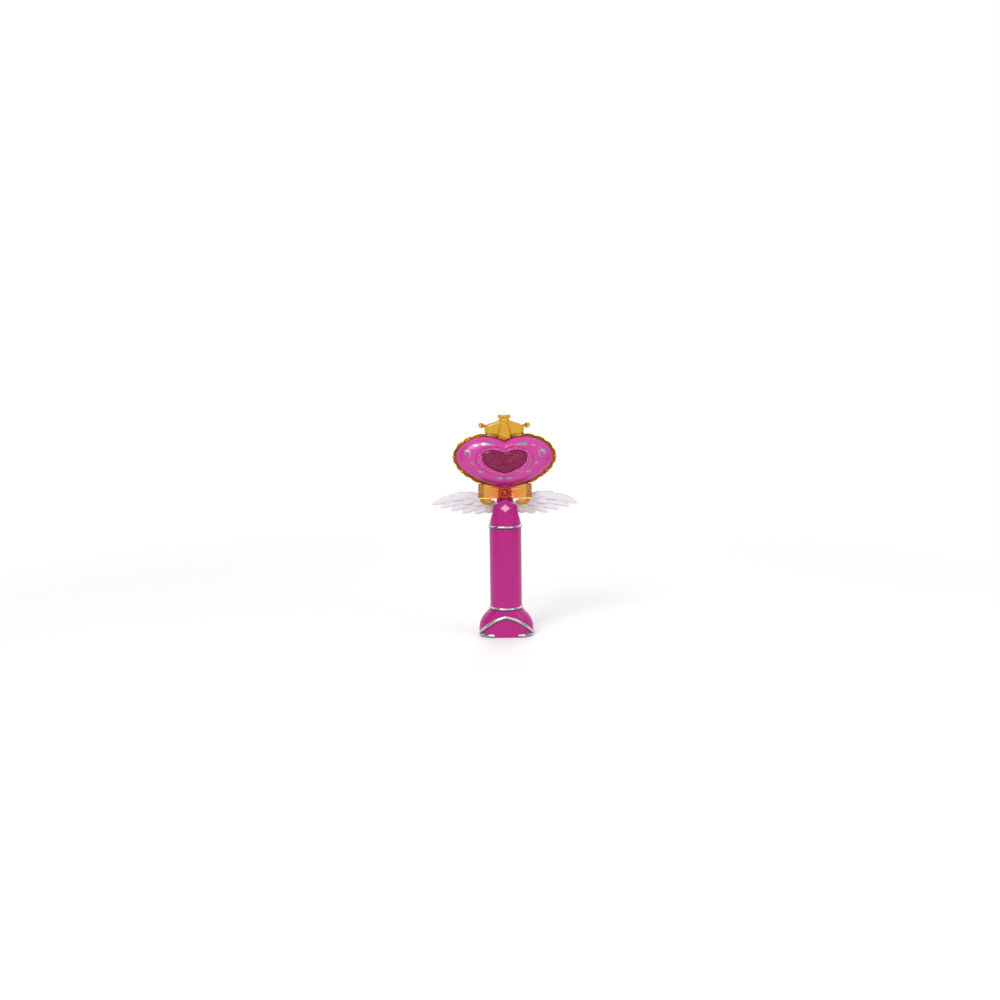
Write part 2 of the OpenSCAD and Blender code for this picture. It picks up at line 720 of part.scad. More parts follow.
module heart_back()
  color("orchid") difference() {
    union() {
      mirror([0, 1, 0]) band(concat([for (s = back_shares) face_ring(heart_plain, s, back_depth)],
        [grille_ring(1), grille_ring(back_inner_share)],
        [for (s = back_inner_shares) face_ring(heart_plain, s, back_depth)]));
      difference() {
        rod(0, grille_front_y, heart_z, grille_t, 2 * grille_r + grip_wall);
        grille_holes();
      }
      at_head_screws() rod(0, seat_gap, 0, rim_half_t + head_boss_share * back_depth,
        screw_head_d + grip_wall);
    }
    at_head_screws() screw_bore(0, head_head_y, 0, reach);
    stem_hole(seat_gap);
  }
module head_screws()
  color("silver") at_head_screws() screw(0, head_head_y + turn_gap, 0, head_screw_len - overrun);

// Gold rim: a section of [width share, depth share] carried round the heart, swelling in scallops
rim_section_shares = [[-0.95, 0.5], [0.85, 0.5], [1, -0.1], [0.9, -0.8], [0.66, -0.9], [0.52, -0.5],
  [0.4, -0.85], [0.22, -0.85], [0.1, -0.5], [-0.95, -0.5]];
rim_k = 6;
rim_outline = heart(rim_k);
rim_count = len(rim_outline);
scallop_share = 0.3;
cleft_share = 0.3;
function rim_normal(j) = let (t = unit(rim_outline[(j + 1) % rim_count]
  - rim_outline[(j + rim_count - 1) % rim_count])) [t[1], -t[0]];
function rim_swell(j) = 1 - scallop_share + scallop_share * abs(sin(180 * j / rim_k));
// The rim narrows into the cleft, where its two sides meet
function rim_fade(j) = rim_outline[j][1] < 0 ? 1
  : min(1, cleft_share + abs(rim_outline[j][0]) / (2 * rim_w));
function rim_point(j, s) = let (p = rim_outline[j]
  + rim_normal(j) * s[0] * rim_w * (s[0] > 0 ? rim_swell(j) * rim_fade(j) : 1))
  [p[0], s[1] * rim_t, heart_z + p[1]];
bead_cusps = [4, 6];
module heart_rim()
  color("goldenrod") difference() {
    union() {
      band([for (s = rim_section_shares) [for (j = [0:rim_count - 1]) rim_point(j, s)]]);
      both_sides() for (c = bead_cusps)
        let (p = rim_outline[c * rim_k] + rim_normal(c * rim_k) * rim_w / 2)
          translate([p[0], 0, heart_z + p[1]]) sphere(d = bead_d);
    }
    stem_hole(seat_gap);
    translate([-crown_tab_w / 2 - seat_gap, -crown_tab_t / 2 - seat_gap, crown_tab_z])
      cube([crown_tab_w + 2 * seat_gap, crown_tab_t + 2 * seat_gap, reach]);
  }
// Front view of the head, with room round the face, and behind that round its rim
rim_front_y = -rim_t - seat_gap;
module head_clearance() {
  prism(-reach, 2 * reach) translate([0, heart_z]) offset(r = 2 * seat_gap) polygon(heart_plain);
  prism(rim_front_y, reach) translate([0, heart_z]) offset(r = rim_w + seat_gap) polygon(heart_plain);
}

// Lens and its pebbled border
lens_share = 0.45;
bezel_inner_share = 0.46;
bezel_outer_share = 0.57;
lens_edge_share = 0.9;
lens_edge_y = -rim_half_t - lens_edge_share * face_depth;
module lens_bezel()
  color("deeppink") prism(lens_edge_y - bezel_t / 2, bezel_t) translate([0, heart_z]) difference() {
    polygon(scaled(heart_plain, bezel_outer_share));
    polygon(scaled(heart_plain, bezel_inner_share));
  }
lens_shares = [[1, 0], [0.97, 0.3], [0.85, 0.65], [0.6, 0.92], [0.3, 1]];
module heart_lens()
  color("mediumvioletred") loft(concat(
    [upright(scaled(heart_plain, lens_share), lens_edge_y + lens_t, heart_z)],
    [for (s = lens_shares)
      upright(scaled(heart_plain, lens_share * s[0]), lens_edge_y - s[1] * lens_rise, heart_z)]));

// Lamp: a reflector behind the lens with the lamp's board on its rear
reflector_y = lens_edge_y + max(lens_t, bezel_t / 2) + seat_gap;
reflector_depth = face_depth / 2;
reflector_wall = grip_wall / 2;
led_hole_r = led_d / 2 + seat_gap;
// Rings of the cup from its mouth to the lamp, as [outline share, depth share]
cup_shares = [[1, 0], [0.9, 0.5], [0.4, 0.9]];
function cup_ring(s, rise, grow) = upright(
  [for (p = heart_plain) unit(p) * (norm(p) * s[0] * bezel_inner_share + grow)],
  reflector_y + s[1] * reflector_depth - rise, heart_z);
function led_ring(depth, grow) = upright([for (p = heart_plain) unit(p) * (led_hole_r + grow)],
  reflector_y + depth, heart_z);
module reflector()
  color("silver") band(concat([led_ring(reflector_depth, reflector_wall)],
    [for (i = [len(cup_shares) - 1:-1:0]) cup_ring(cup_shares[i], 0, reflector_wall)],
    [for (s = cup_shares) cup_ring(s, s[1] > 0 ? reflector_wall : 0, 0)],
    [led_ring(reflector_depth - reflector_wall, 0)]));
led_board_y = reflector_y + reflector_depth + seat_gap;
module led_board()
  color("seagreen") rod(0, led_board_y, heart_z, board_t, 3 * led_d);
module led()
  color("mistyrose") {
    rod(0, led_board_y - led_d / 2 - seat_gap, heart_z, led_d / 2 + seat_gap, led_d);
    translate([0, led_board_y - led_d / 2 - seat_gap, heart_z]) sphere(d = led_d);
  }

// Speaker: faces the grille in the back shell
speaker_y = grille_front_y - seat_gap - speaker_depth;
speaker_rim_t = speaker_depth / 6;
speaker_r = speaker_d / 2;
magnet_r_share = 0.6;
magnet_h_share = 0.4;
magnet_r = magnet_r_share * speaker_r;
magnet_h = magnet_h_share * speaker_depth;
speaker_wall = speaker_depth / 10;
module about_speaker()
  translate([0, speaker_y, heart_z]) rotate([-90, 0, 0]) children();
module speaker_frame()
  color("dimgray") about_speaker() rotate_extrude() polygon([[0, magnet_h], [magnet_r, magnet_h],
    [speaker_r - 2 * speaker_wall, speaker_depth - speaker_rim_t], [speaker_r, speaker_depth - speaker_rim_t],
    [speaker_r, speaker_depth], [speaker_r - 2 * speaker_wall, speaker_depth],
    [magnet_r - speaker_wall, magnet_h + speaker_wall], [0, magnet_h + speaker_wall]]);
module speaker_magnet()
  color("silver") about_speaker() cylinder(h = magnet_h, r = magnet_r);
module speaker_cone()
  color("black") about_speaker() rotate_extrude() translate([0, magnet_h + speaker_wall + seat_gap])
    polygon([[0, 0], [magnet_r - 2 * speaker_wall, 0], [speaker_r - 4 * speaker_wall, speaker_depth / 3],
      [speaker_r - 4 * speaker_wall, speaker_depth / 3 + speaker_wall / 2],
      [magnet_r - 3 * speaker_wall, speaker_wall], [0, 2 * speaker_wall]]);

// Crown: half its outline as [half-width share, height share], above the lobes, with its tab below
crown_half_w = crown_w / 2;
crown_sink = heart_top_h - heart_cleft_h + rim_w;
crown_low_shares = [[0.94, -0.2], [0.96, 0.05], [1, 0.5]];
crown_corner_shares = [1, 0.56];
crown_shoulder_shares = [0.9, 0.84];
crown_slope_shares = [0.52, 0.86];
crown_top_shares = [0.3, 1];
crown_middle_share = 0.4;
crown_steps = 8;
function crown_place(s) = [s[0] * crown_half_w, s[1] * crown_h];
crown_right = concat([[0, -crown_sink]], [for (s = crown_low_shares) crown_place(s)],
  curve(crown_place(crown_corner_shares), crown_place(crown_shoulder_shares), crown_place(crown_slope_shares),
    crown_place(crown_top_shares), crown_steps), [crown_place(crown_top_shares)]);
crown_centre = [0, crown_middle_share * crown_h];
crown_outline = [for (p = concat(crown_right, [[0, crown_h]], mirrored(tail(crown_right)))) p - crown_centre];
crown_shares = [[0.3, 1], [0.65, 0.95], [0.86, 0.8], [0.96, 0.55], [1, 0.2]];
// Rings of a body that swells alike to the rear and the front
function puffed(outline, shares, depth, z) = concat(
  [for (s = shares) upright(scaled(outline, s[0]), s[1] * depth, z)],
  [for (i = [len(shares) - 1:-1:0]) upright(scaled(outline, shares[i][0]), -shares[i][1] * depth, z)]);
crown_tab_w = crown_w / 4;
crown_tab_t = rim_t / 2;
crown_tab_h = 2 * rim_t;
crown_tab_z = heart_z + heart_cleft_h - crown_tab_h;
// Balls on short arms at the crown's ends
ball_lift_share = 0.68;
arm_lift_share = 0.54;
arm_share = 0.55;
ball_x = crown_half_w + arm_share * crown_ball_d;
ball_z = crown_z + ball_lift_share * crown_h;
arm_x = crown_half_w - crown_ball_d;
arm_z = crown_z + arm_lift_share * crown_h;
arm_d = arm_share * crown_ball_d;
// Bell-shaped cabochon on the crown's front
bell_w_share = 0.18;
bell_half_w = bell_w_share * crown_w;
bell_lift_share = 0.3;
bell_h_share = 0.6;
bell_z = crown_z + bell_lift_share * crown_h;
bell_h = bell_h_share * crown_h;
bell_shares = [[0.95, -0.75], [1, -0.55], [0.78, 0.1], [0.66, 0.5], [0.42, 0.88], [0, 1]];
bell_right = [for (s = bell_shares) [s[0] * bell_half_w, s[1] * bell_h]];
bell_outline = concat(bell_right, mirrored([for (i = [0:len(bell_right) - 2]) bell_right[i]]));
bell_swell_shares = [[1, 0.75], [1, 1], [0.9, 1.22], [0.7, 1.3], [0.3, 1.34]];
module crown()
  color("goldenrod") {
    difference() {
      union() {
        loft(puffed(crown_outline, crown_shares, crown_depth / 2, crown_z + crown_centre[1]));
        loft([for (s = bell_swell_shares)
          upright(scaled(bell_outline, s[0]), -s[1] * crown_depth / 2, bell_z)]);
      }
      head_clearance();
    }
    translate([0, 0, crown_z + crown_h - overrun]) rotate_extrude() knob_section();
    both_sides() {
      translate([ball_x, 0, ball_z]) sphere(d = crown_ball_d);
      translate([arm_x, 0, arm_z]) rotate([0, atan2(ball_x - arm_x, ball_z - arm_z), 0])
        cylinder(h = norm([ball_x - arm_x, ball_z - arm_z]), d = arm_d);
    }
    translate([-crown_tab_w / 2, -crown_tab_t / 2, crown_tab_z + seat_gap])
      cube([crown_tab_w, crown_tab_t, crown_tab_h + crown_sink + rim_w]);
  }
// Knob: a waist with a rounded brim above it
knob_r = knob_d / 2;
knob_round = knob_h / 3;
knob_waist_share = 0.74;
module knob_section()
  difference() {
    union() {
      square([knob_waist_share * knob_r, knob_h + overrun]);
      translate([knob_r - knob_round, overrun + knob_h - knob_round]) circle(r = knob_round);
      translate([0, overrun + knob_h - knob_round]) square([knob_r - knob_round, knob_round]);
    }
    translate([-knob_r, 0]) square([knob_r, reach]);
  }

// Bow: two flared loops that open outwards, and a ringed knot in front of the stem
bow_z = ridge_z + knot_d / 2 + seat_gap;
bow_half_w = bow_w / 2;
bow_y = -stem_r - bow_depth / 4;
bow_points = 20;
// Sections along a loop as [reach share, height share, depth share]
loop_shares = [[0.1, 0.7, 0.5], [0.25, 0.8, 0.7], [0.5, 0.92, 0.95], [0.75, 0.97, 1], [0.93, 1, 0.95],
  [1, 0.95, 0.8], [0.97, 0.8, 0.62], [0.8, 0.66, 0.5]];
loop_rise_share = 0.17;
loop_fullness = 0.55;
function loop_power(v) = sign(v) * pow(abs(v), loop_fullness);
function loop_ring(s) = [for (j = [0:bow_points - 1]) let (a = 360 * j / bow_points)
  [s[0] * bow_half_w, bow_y + s[2] * bow_depth / 2 * loop_power(cos(a)),
    bow_z + (loop_rise_share * s[0] + s[1] * loop_power(sin(a))) * bow_loop_h / 2]];
knot_r = knot_d / 2;
knot_ring_d = knot_d / 4;
knot_boss_share = 0.4;
knot_boss_h_share = 0.6;
// Rolled tails: crescents under the loops that curl in to the neck's gable
tail_steps = 8;
tail_sides = 8;
tail_point_share = 0.35;
tail_root_share = 0.4;
tail_start = [bow_half_w - tail_d / 2, bow_z - tail_root_share * bow_loop_h];
tail_end = [neck_half_w - tail_d / 4, eaves_z + tail_d];
tail_bend = [(tail_start[0] + tail_end[0]) / 2, tail_end[1] - tail_d / 2];
function tail_place(t) = (1 - t) * (1 - t) * tail_start + 2 * t * (1 - t) * tail_bend + t * t * tail_end;
function tail_along(t) = unit((1 - t) * (tail_bend - tail_start) + t * (tail_end - tail_bend));
function tail_ring(t) = let (p = tail_place(t), q = tail_along(t),
  r = tail_d / 2 * (tail_point_share + (1 - tail_point_share) * sin(180 * t)))
  [for (j = [0:tail_sides - 1]) let (a = 360 * j / tail_sides)
    [p[0] - q[1] * r * cos(a), bow_y - r * sin(a), p[1] + q[0] * r * cos(a)]];
module bow()
  color("gold") difference() {
    union() {
      both_sides() {
        loft([for (s = loop_shares) loop_ring(s)]);
        loft([for (i = [0:tail_steps]) tail_ring(i / tail_steps)]);
      }
      translate([0, bow_y, bow_z]) rotate([90, 0, 0]) rotate_extrude() {
        square([knot_r - knot_ring_d / 2, bow_depth / 2]);
        intersection() {
          translate([knot_r - knot_ring_d / 2, bow_depth / 2]) circle(d = knot_ring_d);
          square([knot_r, bow_depth]);
        }
        square([knot_boss_share * knot_r, knot_boss_h_share * bow_depth]);
      }
    }
    head_clearance();
    translate([0, 0, ridge_z - overrun]) cylinder(h = reach, r = stem_r + seat_gap);
    prism(-reach, 2 * reach) offset(delta = seat_gap) polygon(house(0, neck_z));
  }

// Wings: feathers as [root reach, root height, tip reach, tip height, width], each a share
wing_root_x = neck_half_w + seat_gap;
wing_drop_share = 0.42;
wing_foot_z = eaves_z - wing_drop_share * wing_h;
covert_shares = [[-0.02, 0.4, 0.57, 0.93, 0.36], [0.4, 0.82, 0.69, 0.68, 0.4], [0.26, 0.7, 0.51, 0.49, 0.42],
  [0.12, 0.58, 0.33, 0.42, 0.4], [-0.02, 0.46, 0.18, 0.36, 0.36]];
primary_shares = [[0.46, 0.74, 1, 0.43, 0.34], [0.36, 0.62, 0.88, 0.28, 0.36], [0.24, 0.5, 0.7, 0.15, 0.38],
  [0.12, 0.42, 0.52, 0.02, 0.4], [0, 0.36, 0.31, 0, 0.42], [-0.06, 0.26, 0.14, 0.05, 0.36]];
web_shares = [[0, 0.1], [0.3, 0.1], [0.55, 0.2], [0.75, 0.36], [0.8, 0.5], [0.64, 0.66], [0.52, 0.88],
  [0.3, 0.74], [0, 0.46]];
leaf_shares = [[0, 0.6], [0.12, 0.82], [0.35, 1], [0.6, 0.95], [0.8, 0.72], [0.93, 0.4], [1, 0]];
leaf_camber_share = 0.07;
function wing_place(reach_share, height_share) =
  [wing_root_x + reach_share * wing_len, wing_foot_z + height_share * wing_h];
function leaf_point(a, b, l, side) = let (along = b - a, across = [-along[1], along[0]])
  a + l[0] * along + across * leaf_camber_share * sin(180 * l[0]) + side * l[1] * unit(across);
function leaf(s) = let (a = wing_place(s[0], s[1]), b = wing_place(s[2], s[3]), half = s[4] * wing_h / 2,
  last = len(leaf_shares) - 1)
  concat([for (l = leaf_shares) leaf_point(a, b, l, -half)],
    [for (i = [last - 1:-1:0]) leaf_point(a, b, leaf_shares[i], half)]);
module feathers(shares, y)
  for (i = [0:len(shares) - 1])
    prism(y + i * feather_step, feather_t) polygon(leaf(shares[i]));
module wing()
  color("lavenderblush") {
    intersection() {
      union() {
        feathers(covert_shares, -feather_t - feather_step);
        feathers(primary_shares, -feather_t / 2);
        prism(0, feather_t) polygon([for (s = web_shares) wing_place(s[0], s[1])]);
      }
      translate([wing_root_x, -reach, 0]) cube([reach, 2 * reach, reach]);
    }
    translate([neck_half_w - grip_wall - 2 * seat_gap, 0, wing_tab_z])
      cube([grip_wall + wing_tab_h, wing_tab_t, wing_tab_h]);
    translate([neck_half_w - 2 * grip_wall, 0, wing_tab_z - grip_wall / 2])
      cube([grip_wall - seat_gap, wing_tab_t, wing_tab_h]);
  }
module wing_right()
  wing();
module wing_left()
  mirror([1, 0, 0]) wing();

// Wires: from the contacts up to the board, and from the board up the stem to the lamp and the speaker
pad_y = board_rear_y + wire_d / 2 + seat_gap;
pad_share = 0.4;
contact_lead_shares = [[0.04, 0.09, 0.17], [0.18, 0.26, 0.36], [0.55, 0.56, 0.6], [0.86, 0.82, 0.83]];
lamp_lead_shares = [[-0.38, -0.29, 0.065], [-0.41, -0.11, 0.165], [-0.42, 0, 0.29], [-0.42, 0.07, 0.44],
  [-0.4, 0.07, 0.59], [-0.36, 0, 0.74], [-0.3, -0.11, 0.88]];
speaker_lead_shares = [[0.38, -0.29, 0.08], [0.41, -0.09, 0.2], [0.43, 0.09, 0.35], [0.44, 0.2, 0.53],
  [0.46, 0.29, 0.7], [0.48, 0.47, 0.84], [0.51, 0.73, 0.93]];
speaker_pad_shares = [0.55, 0.74, 0.845];
function between(a, b, shares) = [for (s = shares) [for (i = [0:2]) a[i] + s[i] * (b[i] - a[i])]];
function up_stem(a, b, shares) = concat([a],
  [for (s = shares) [s[0] * stem_r, s[1] * stem_r, a[2] + s[2] * (b[2] - a[2])]], [b]);
function contact_route(side) = let (foot = [side * cell_x, wire_d, bay_top_z + seat_gap],
  bend = [side * cell_x, wire_d, bay_top_z + end_block_len + wire_d],
  pad = [side * pad_share * neck_half_w, pad_y, board_foot_z + grip_wall])
  concat([foot, bend], between(bend, pad, contact_lead_shares), [pad]);
function stem_foot(side) = [side * stem_r / 3, pad_y, eaves_z + grip_wall];
lamp_pad = [-led_d / 2, led_board_y + board_t + wire_d / 2 + seat_gap, heart_z - led_d];
speaker_pad = [speaker_pad_shares[0] * stem_r, speaker_y + speaker_pad_shares[1] * speaker_depth,
  heart_z - speaker_pad_shares[2] * speaker_r];
module battery_lead_red()
  color("red") tube(contact_route(-1), wire_d);
module battery_lead_black()
  color("black") tube(contact_route(1), wire_d);
module led_lead()
  color("white") tube(up_stem(stem_foot(-1), lamp_pad, lamp_lead_shares), wire_d);
module speaker_lead()
  color("yellow") tube(up_stem(stem_foot(1), speaker_pad, speaker_lead_shares), wire_d);

pommel_front();
pommel_rear();
pommel_trim();
lower_ring();
grip_front();
grip_rear();
battery_cover();
cover_screw_upper();
cover_screw_lower();
upper_ring();
neck_front();
neck_rear();
handle_screws();
diamond_button();
button_spring();
contact_pill();
circuit_board();
chip_blob();
resistors();
battery_left();
battery_right();
bridge_contact();
positive_contact();
negative_contact();
wing_left();
wing_right();
bow();
heart_face();
heart_rim();
heart_back();
lens_bezel();
heart_lens();
reflector();
led();
led_board();
speaker_frame();
speaker_cone();
speaker_magnet();
head_screws();
crown();
battery_lead_red();
battery_lead_black();
led_lead();
speaker_lead();
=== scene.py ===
# %% [markdown]
# # A light-up toy wand
# The wand stands on its flared foot. A pink tube holds two cells, the gabled neck holds the push
# button, and the head is a puffy heart with a gold rim, a lens, a crown, a bow and two wings.
# The solids come in as a fixed frame, at their real size and in metres. This script gives every
# surface its finish, and makes again in finer meshes the moulded pieces whose curves show most.

# %% Load the frame
import json
import math

import bmesh
import bpy
import numpy as np
from mathutils import Matrix, Vector

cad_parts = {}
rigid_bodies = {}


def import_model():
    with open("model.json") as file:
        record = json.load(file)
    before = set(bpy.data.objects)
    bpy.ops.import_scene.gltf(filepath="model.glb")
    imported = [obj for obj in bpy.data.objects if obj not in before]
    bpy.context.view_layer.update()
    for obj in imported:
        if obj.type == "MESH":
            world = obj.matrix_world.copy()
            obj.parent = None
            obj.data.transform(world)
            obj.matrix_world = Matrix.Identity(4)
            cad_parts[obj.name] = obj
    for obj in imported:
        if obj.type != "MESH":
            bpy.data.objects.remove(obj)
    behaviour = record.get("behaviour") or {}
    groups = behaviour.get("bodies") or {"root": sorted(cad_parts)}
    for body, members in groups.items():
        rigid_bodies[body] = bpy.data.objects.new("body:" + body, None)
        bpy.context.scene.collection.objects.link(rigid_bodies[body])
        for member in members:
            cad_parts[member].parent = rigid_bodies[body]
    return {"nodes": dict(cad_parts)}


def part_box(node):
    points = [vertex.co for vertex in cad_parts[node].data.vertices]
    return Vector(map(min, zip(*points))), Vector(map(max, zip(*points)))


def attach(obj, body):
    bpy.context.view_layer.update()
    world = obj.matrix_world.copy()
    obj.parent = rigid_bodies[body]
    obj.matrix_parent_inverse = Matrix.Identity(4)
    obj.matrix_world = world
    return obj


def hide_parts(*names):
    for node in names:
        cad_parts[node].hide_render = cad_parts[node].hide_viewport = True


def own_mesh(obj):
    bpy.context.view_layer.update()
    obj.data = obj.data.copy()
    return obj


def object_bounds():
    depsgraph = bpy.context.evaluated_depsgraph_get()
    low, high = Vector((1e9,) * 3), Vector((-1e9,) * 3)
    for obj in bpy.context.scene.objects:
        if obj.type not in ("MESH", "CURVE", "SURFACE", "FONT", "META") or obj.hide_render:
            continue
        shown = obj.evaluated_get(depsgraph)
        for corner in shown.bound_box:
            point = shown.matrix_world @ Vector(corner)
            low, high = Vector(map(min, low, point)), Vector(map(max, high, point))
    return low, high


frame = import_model()
solid_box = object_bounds()
MM = 0.001
print("nodes:", len(frame["nodes"]), "height in mm:", round(solid_box[1].z / MM, 1))

# %% [markdown]
# ## Colour and shader helpers
# Colours are written as sRGB codes, the way a colour picker shows them, but shaders work with
# linear light. One function turns codes to linear values. A second one adds a shader node with its
# settings, so each material below reads as a short list of what it is made of.

# %% Helpers for materials
def linear(code):
    """Linear colour of an sRGB code: small values are divided by 12.92, the rest follow a 2.4 power."""
    channels = np.array([int(code[i:i + 2], 16) for i in (1, 3, 5)]) / 255
    light = np.where(channels <= 0.04045, channels / 12.92, ((channels + 0.055) / 1.055) ** 2.4)
    return (*light.tolist(), 1.0)


def add(tree, kind, values=(), links=(), **settings):
    """A shader node: settings are its own options, values are set on its inputs, and links feed
    an input from another node's output, given as a pair of that node and the output's name."""
    made = tree.nodes.new(kind)
    for name, value in settings.items():
        setattr(made, name, value)
    for name, value in dict(values).items():
        made.inputs[name].default_value = value
    for name, (source, output) in dict(links).items():
        tree.links.new(source.outputs[output], made.inputs[name])
    return made


def start(name, values):
    """A material of this name, its node tree and its Principled shader with these values."""
    material = bpy.data.materials.new(name)
    material.use_nodes = True
    tree = material.node_tree
    shader = tree.nodes["Principled BSDF"]
    for socket, value in values.items():
        shader.inputs[socket].default_value = value
    return material, tree, shader


print("magenta in linear light:", [round(c, 3) for c in linear("#b92a85")])

# %% [markdown]
# ## Moulded plastic
# The handle and the heart are injection-moulded ABS. A polished mould leaves a gloss with a faint
# orange-peel waviness, and the pigment is never quite even. A painted image could show both, but
# noise needs no file and has no seams: a broad one shifts the colour a little, and a fine one feeds
# the bump. The waviness is drawn coarser than the real one, which would be too fine to show.

# %% Moulded plastics
PEEL, PEEL_DEPTH, PEEL_BUMP = 1.6 * MM, 0.1 * MM, 0.06
CLOUD = 14 * MM
ABS_IOR = 1.53


def moulded(name, code, deep_code, roughness, **more):
    """Glossy moulded plastic: its colour drifts between two tones, with an orange-peel surface."""
    material, tree, shader = start(name, {"Roughness": roughness, "IOR": ABS_IOR, **more})
    place = add(tree, "ShaderNodeTexCoord")
    cloud = add(tree, "ShaderNodeTexNoise", {"Scale": 1 / CLOUD, "Detail": 3}, {"Vector": (place, "Object")})
    tone = add(tree, "ShaderNodeMix", {6: linear(code), 7: linear(deep_code)}, {0: (cloud, "Fac")},
               data_type="RGBA")
    fine = add(tree, "ShaderNodeTexNoise", {"Scale": 1 / PEEL, "Detail": 2}, {"Vector": (place, "Object")})
    wave = add(tree, "ShaderNodeBump", {"Strength": PEEL_BUMP, "Distance": PEEL_DEPTH},
               {"Height": (fine, "Fac")})
    tree.links.new(tone.outputs[2], shader.inputs["Base Color"])
    tree.links.new(wave.outputs["Normal"], shader.inputs["Normal"])
    return material


# polished ABS: a deep, even magenta with soft, broad highlights
handle_abs = moulded("magenta_abs_moulded", "#bc1a83", "#b01678", 0.3, **{"Specular IOR Level": 0.3})
# the heart's ABS is lighter and glossier, so that highlights show its cushion shape
heart_abs = moulded("pink_abs_moulded", "#d2409e", "#c83896", 0.24, **{"Specular IOR Level": 0.4})
# a pale ABS, which makes the button stand out from the neck by its light tone
button_abs = moulded("pale_pink_abs_moulded", "#f5a6cb", "#f09ec4", 0.3)
# inside the neck: a dull green board, smooth black epoxy, tan lacquer and matt rubber
board_laminate = moulded("green_circuit_laminate", "#2f7a45", "#276b3b", 0.5)
blob_epoxy = moulded("black_epoxy", "#191919", "#101010", 0.35)
resistor_lacquer = moulded("tan_lacquer", "#c8a878", "#b8925f", 0.4)
pill_rubber = moulded("conductive_rubber", "#2a2a2a", "#202020", 0.8)
# a satin sleeve round each cell, and a dull cone of pressed fibres in the speaker
cell_sleeve = moulded("cell_sleeve_plain", "#4a554a", "#3f4a40", 0.35)
speaker_paper = moulded("pressed_paper_black", "#242424", "#1b1b1b", 0.85)
# soft PVC gives the wires a satin skin in plain colours
WIRE_TONES = {"red": ("#c42a24", "#b8241f"), "black": ("#1e1e1e", "#161616"), "white": ("#e4e4e0", "#dadad6"),
              "yellow": ("#dcb428", "#d0a820")}
wire_skins = {colour: moulded(f"pvc_{colour}", *tones, 0.45) for colour, tones in WIRE_TONES.items()}

# pearl pigment: a milky white, greyed to mauve at each feather's edge as painted shade between the feathers
wing_pearl, tree, shader = start("pearl_white_moulded", {"Roughness": 0.32, "IOR": 1.5, "Coat Weight": 0.3})
feather_shade = add(tree, "ShaderNodeAttribute", attribute_name="tint")
tone = add(tree, "ShaderNodeMix", {6: linear("#ece4ea"), 7: linear("#a890a8")}, {0: (feather_shade, "Fac")},
           data_type="RGBA")
tree.links.new(tone.outputs[2], shader.inputs["Base Color"])
print("moulded plastics:", len(bpy.data.materials))

# %% [markdown]
# ## Metallised plastic and steel
# The gold rim and the chrome rings are plastic with a vapour-deposited film of metal under clear
# lacquer. Faces that look down lie in shade and mirror the dark below, so painted shade and a painted
# dark reflection go into the colour: the metal's tone follows the direction that a face looks in,
# darker downwards. One metal shader does this with few parts.

# %% Metals
# upward part of a face's direction at which the painted shade is darkest, and from which there is none
SHADE_DARKEST_LEAN, SHADE_FREE_LEAN = -0.6, 0.3


def metallised(name, code, shaded_code, roughness, groove_shade_code=None):
    """Mirror-like metal film with painted shade: darker on the faces that look down and, if given, in marked
    grooves.
    """
    material, tree, shader = start(name, {"Metallic": 1, "Roughness": roughness})
    facing = add(tree, "ShaderNodeNewGeometry")
    parts = add(tree, "ShaderNodeSeparateXYZ", (), {0: (facing, "Normal")})
    # painted shade: the metal's colour darkens on the faces that look down
    underside_shade = add(tree, "ShaderNodeMapRange", {"From Min": SHADE_DARKEST_LEAN, "From Max": SHADE_FREE_LEAN},
               {"Value": (parts, "Z")})
    tone = add(tree, "ShaderNodeMix", {6: linear(shaded_code), 7: linear(code)}, {0: (underside_shade, "Result")},
               data_type="RGBA")
    # painted shade in the grooves that the mesh marks
    if groove_shade_code:
        groove_shade = add(tree, "ShaderNodeAttribute", attribute_name="tint")
        tone = add(tree, "ShaderNodeMix", {7: linear(groove_shade_code)}, {0: (groove_shade, "Fac"), 6: (tone, 2)},
                   data_type="RGBA")
    tree.links.new(tone.outputs[2], shader.inputs["Base Color"])
    return material


# a warm mirror, whose ridges shine between grooves browned by painted shade
gold = metallised("gold_metallised", "#f6c650", "#b47a22", 0.16, "#5e3a0e")
# a cold mirror whose undersides are painted nearly black as painted shade, which draws its edges
chrome = metallised("chrome_metallised", "#d0cacf", "#1f1d21", 0.14)
# plated and pressed steel: satin grey screws, brighter springs and a dark speaker frame, each a
# little darker underneath as painted shade
zinc = metallised("zinc_plated_steel", "#c2c2c4", "#a0a0a4", 0.3)
nickel = metallised("nickel_plated_steel", "#d2cec8", "#b4b0aa", 0.22)
pressed_tin = metallised("pressed_steel_dark", "#6a6a6c", "#5a5a5c", 0.4)
print("metals made")

# %% [markdown]
# ## Clear plastic
# The crown and the bow are clear amber polystyrene, and the lens is a dark magenta one. Light that
# passes through takes the colour, so thick places look deeper than thin edges. A volume shader would
# work that out, but it is slow and an export loses it, so the tint sits on the surface, and a mesh
# can mark where it is deeper. A faint ripple of the mould breaks up the highlights.

# %% Clear plastics
RIPPLE, RIPPLE_DEPTH, RIPPLE_BUMP = 2 * MM, 0.2 * MM, 0.1
CLEAR_IOR = 1.5


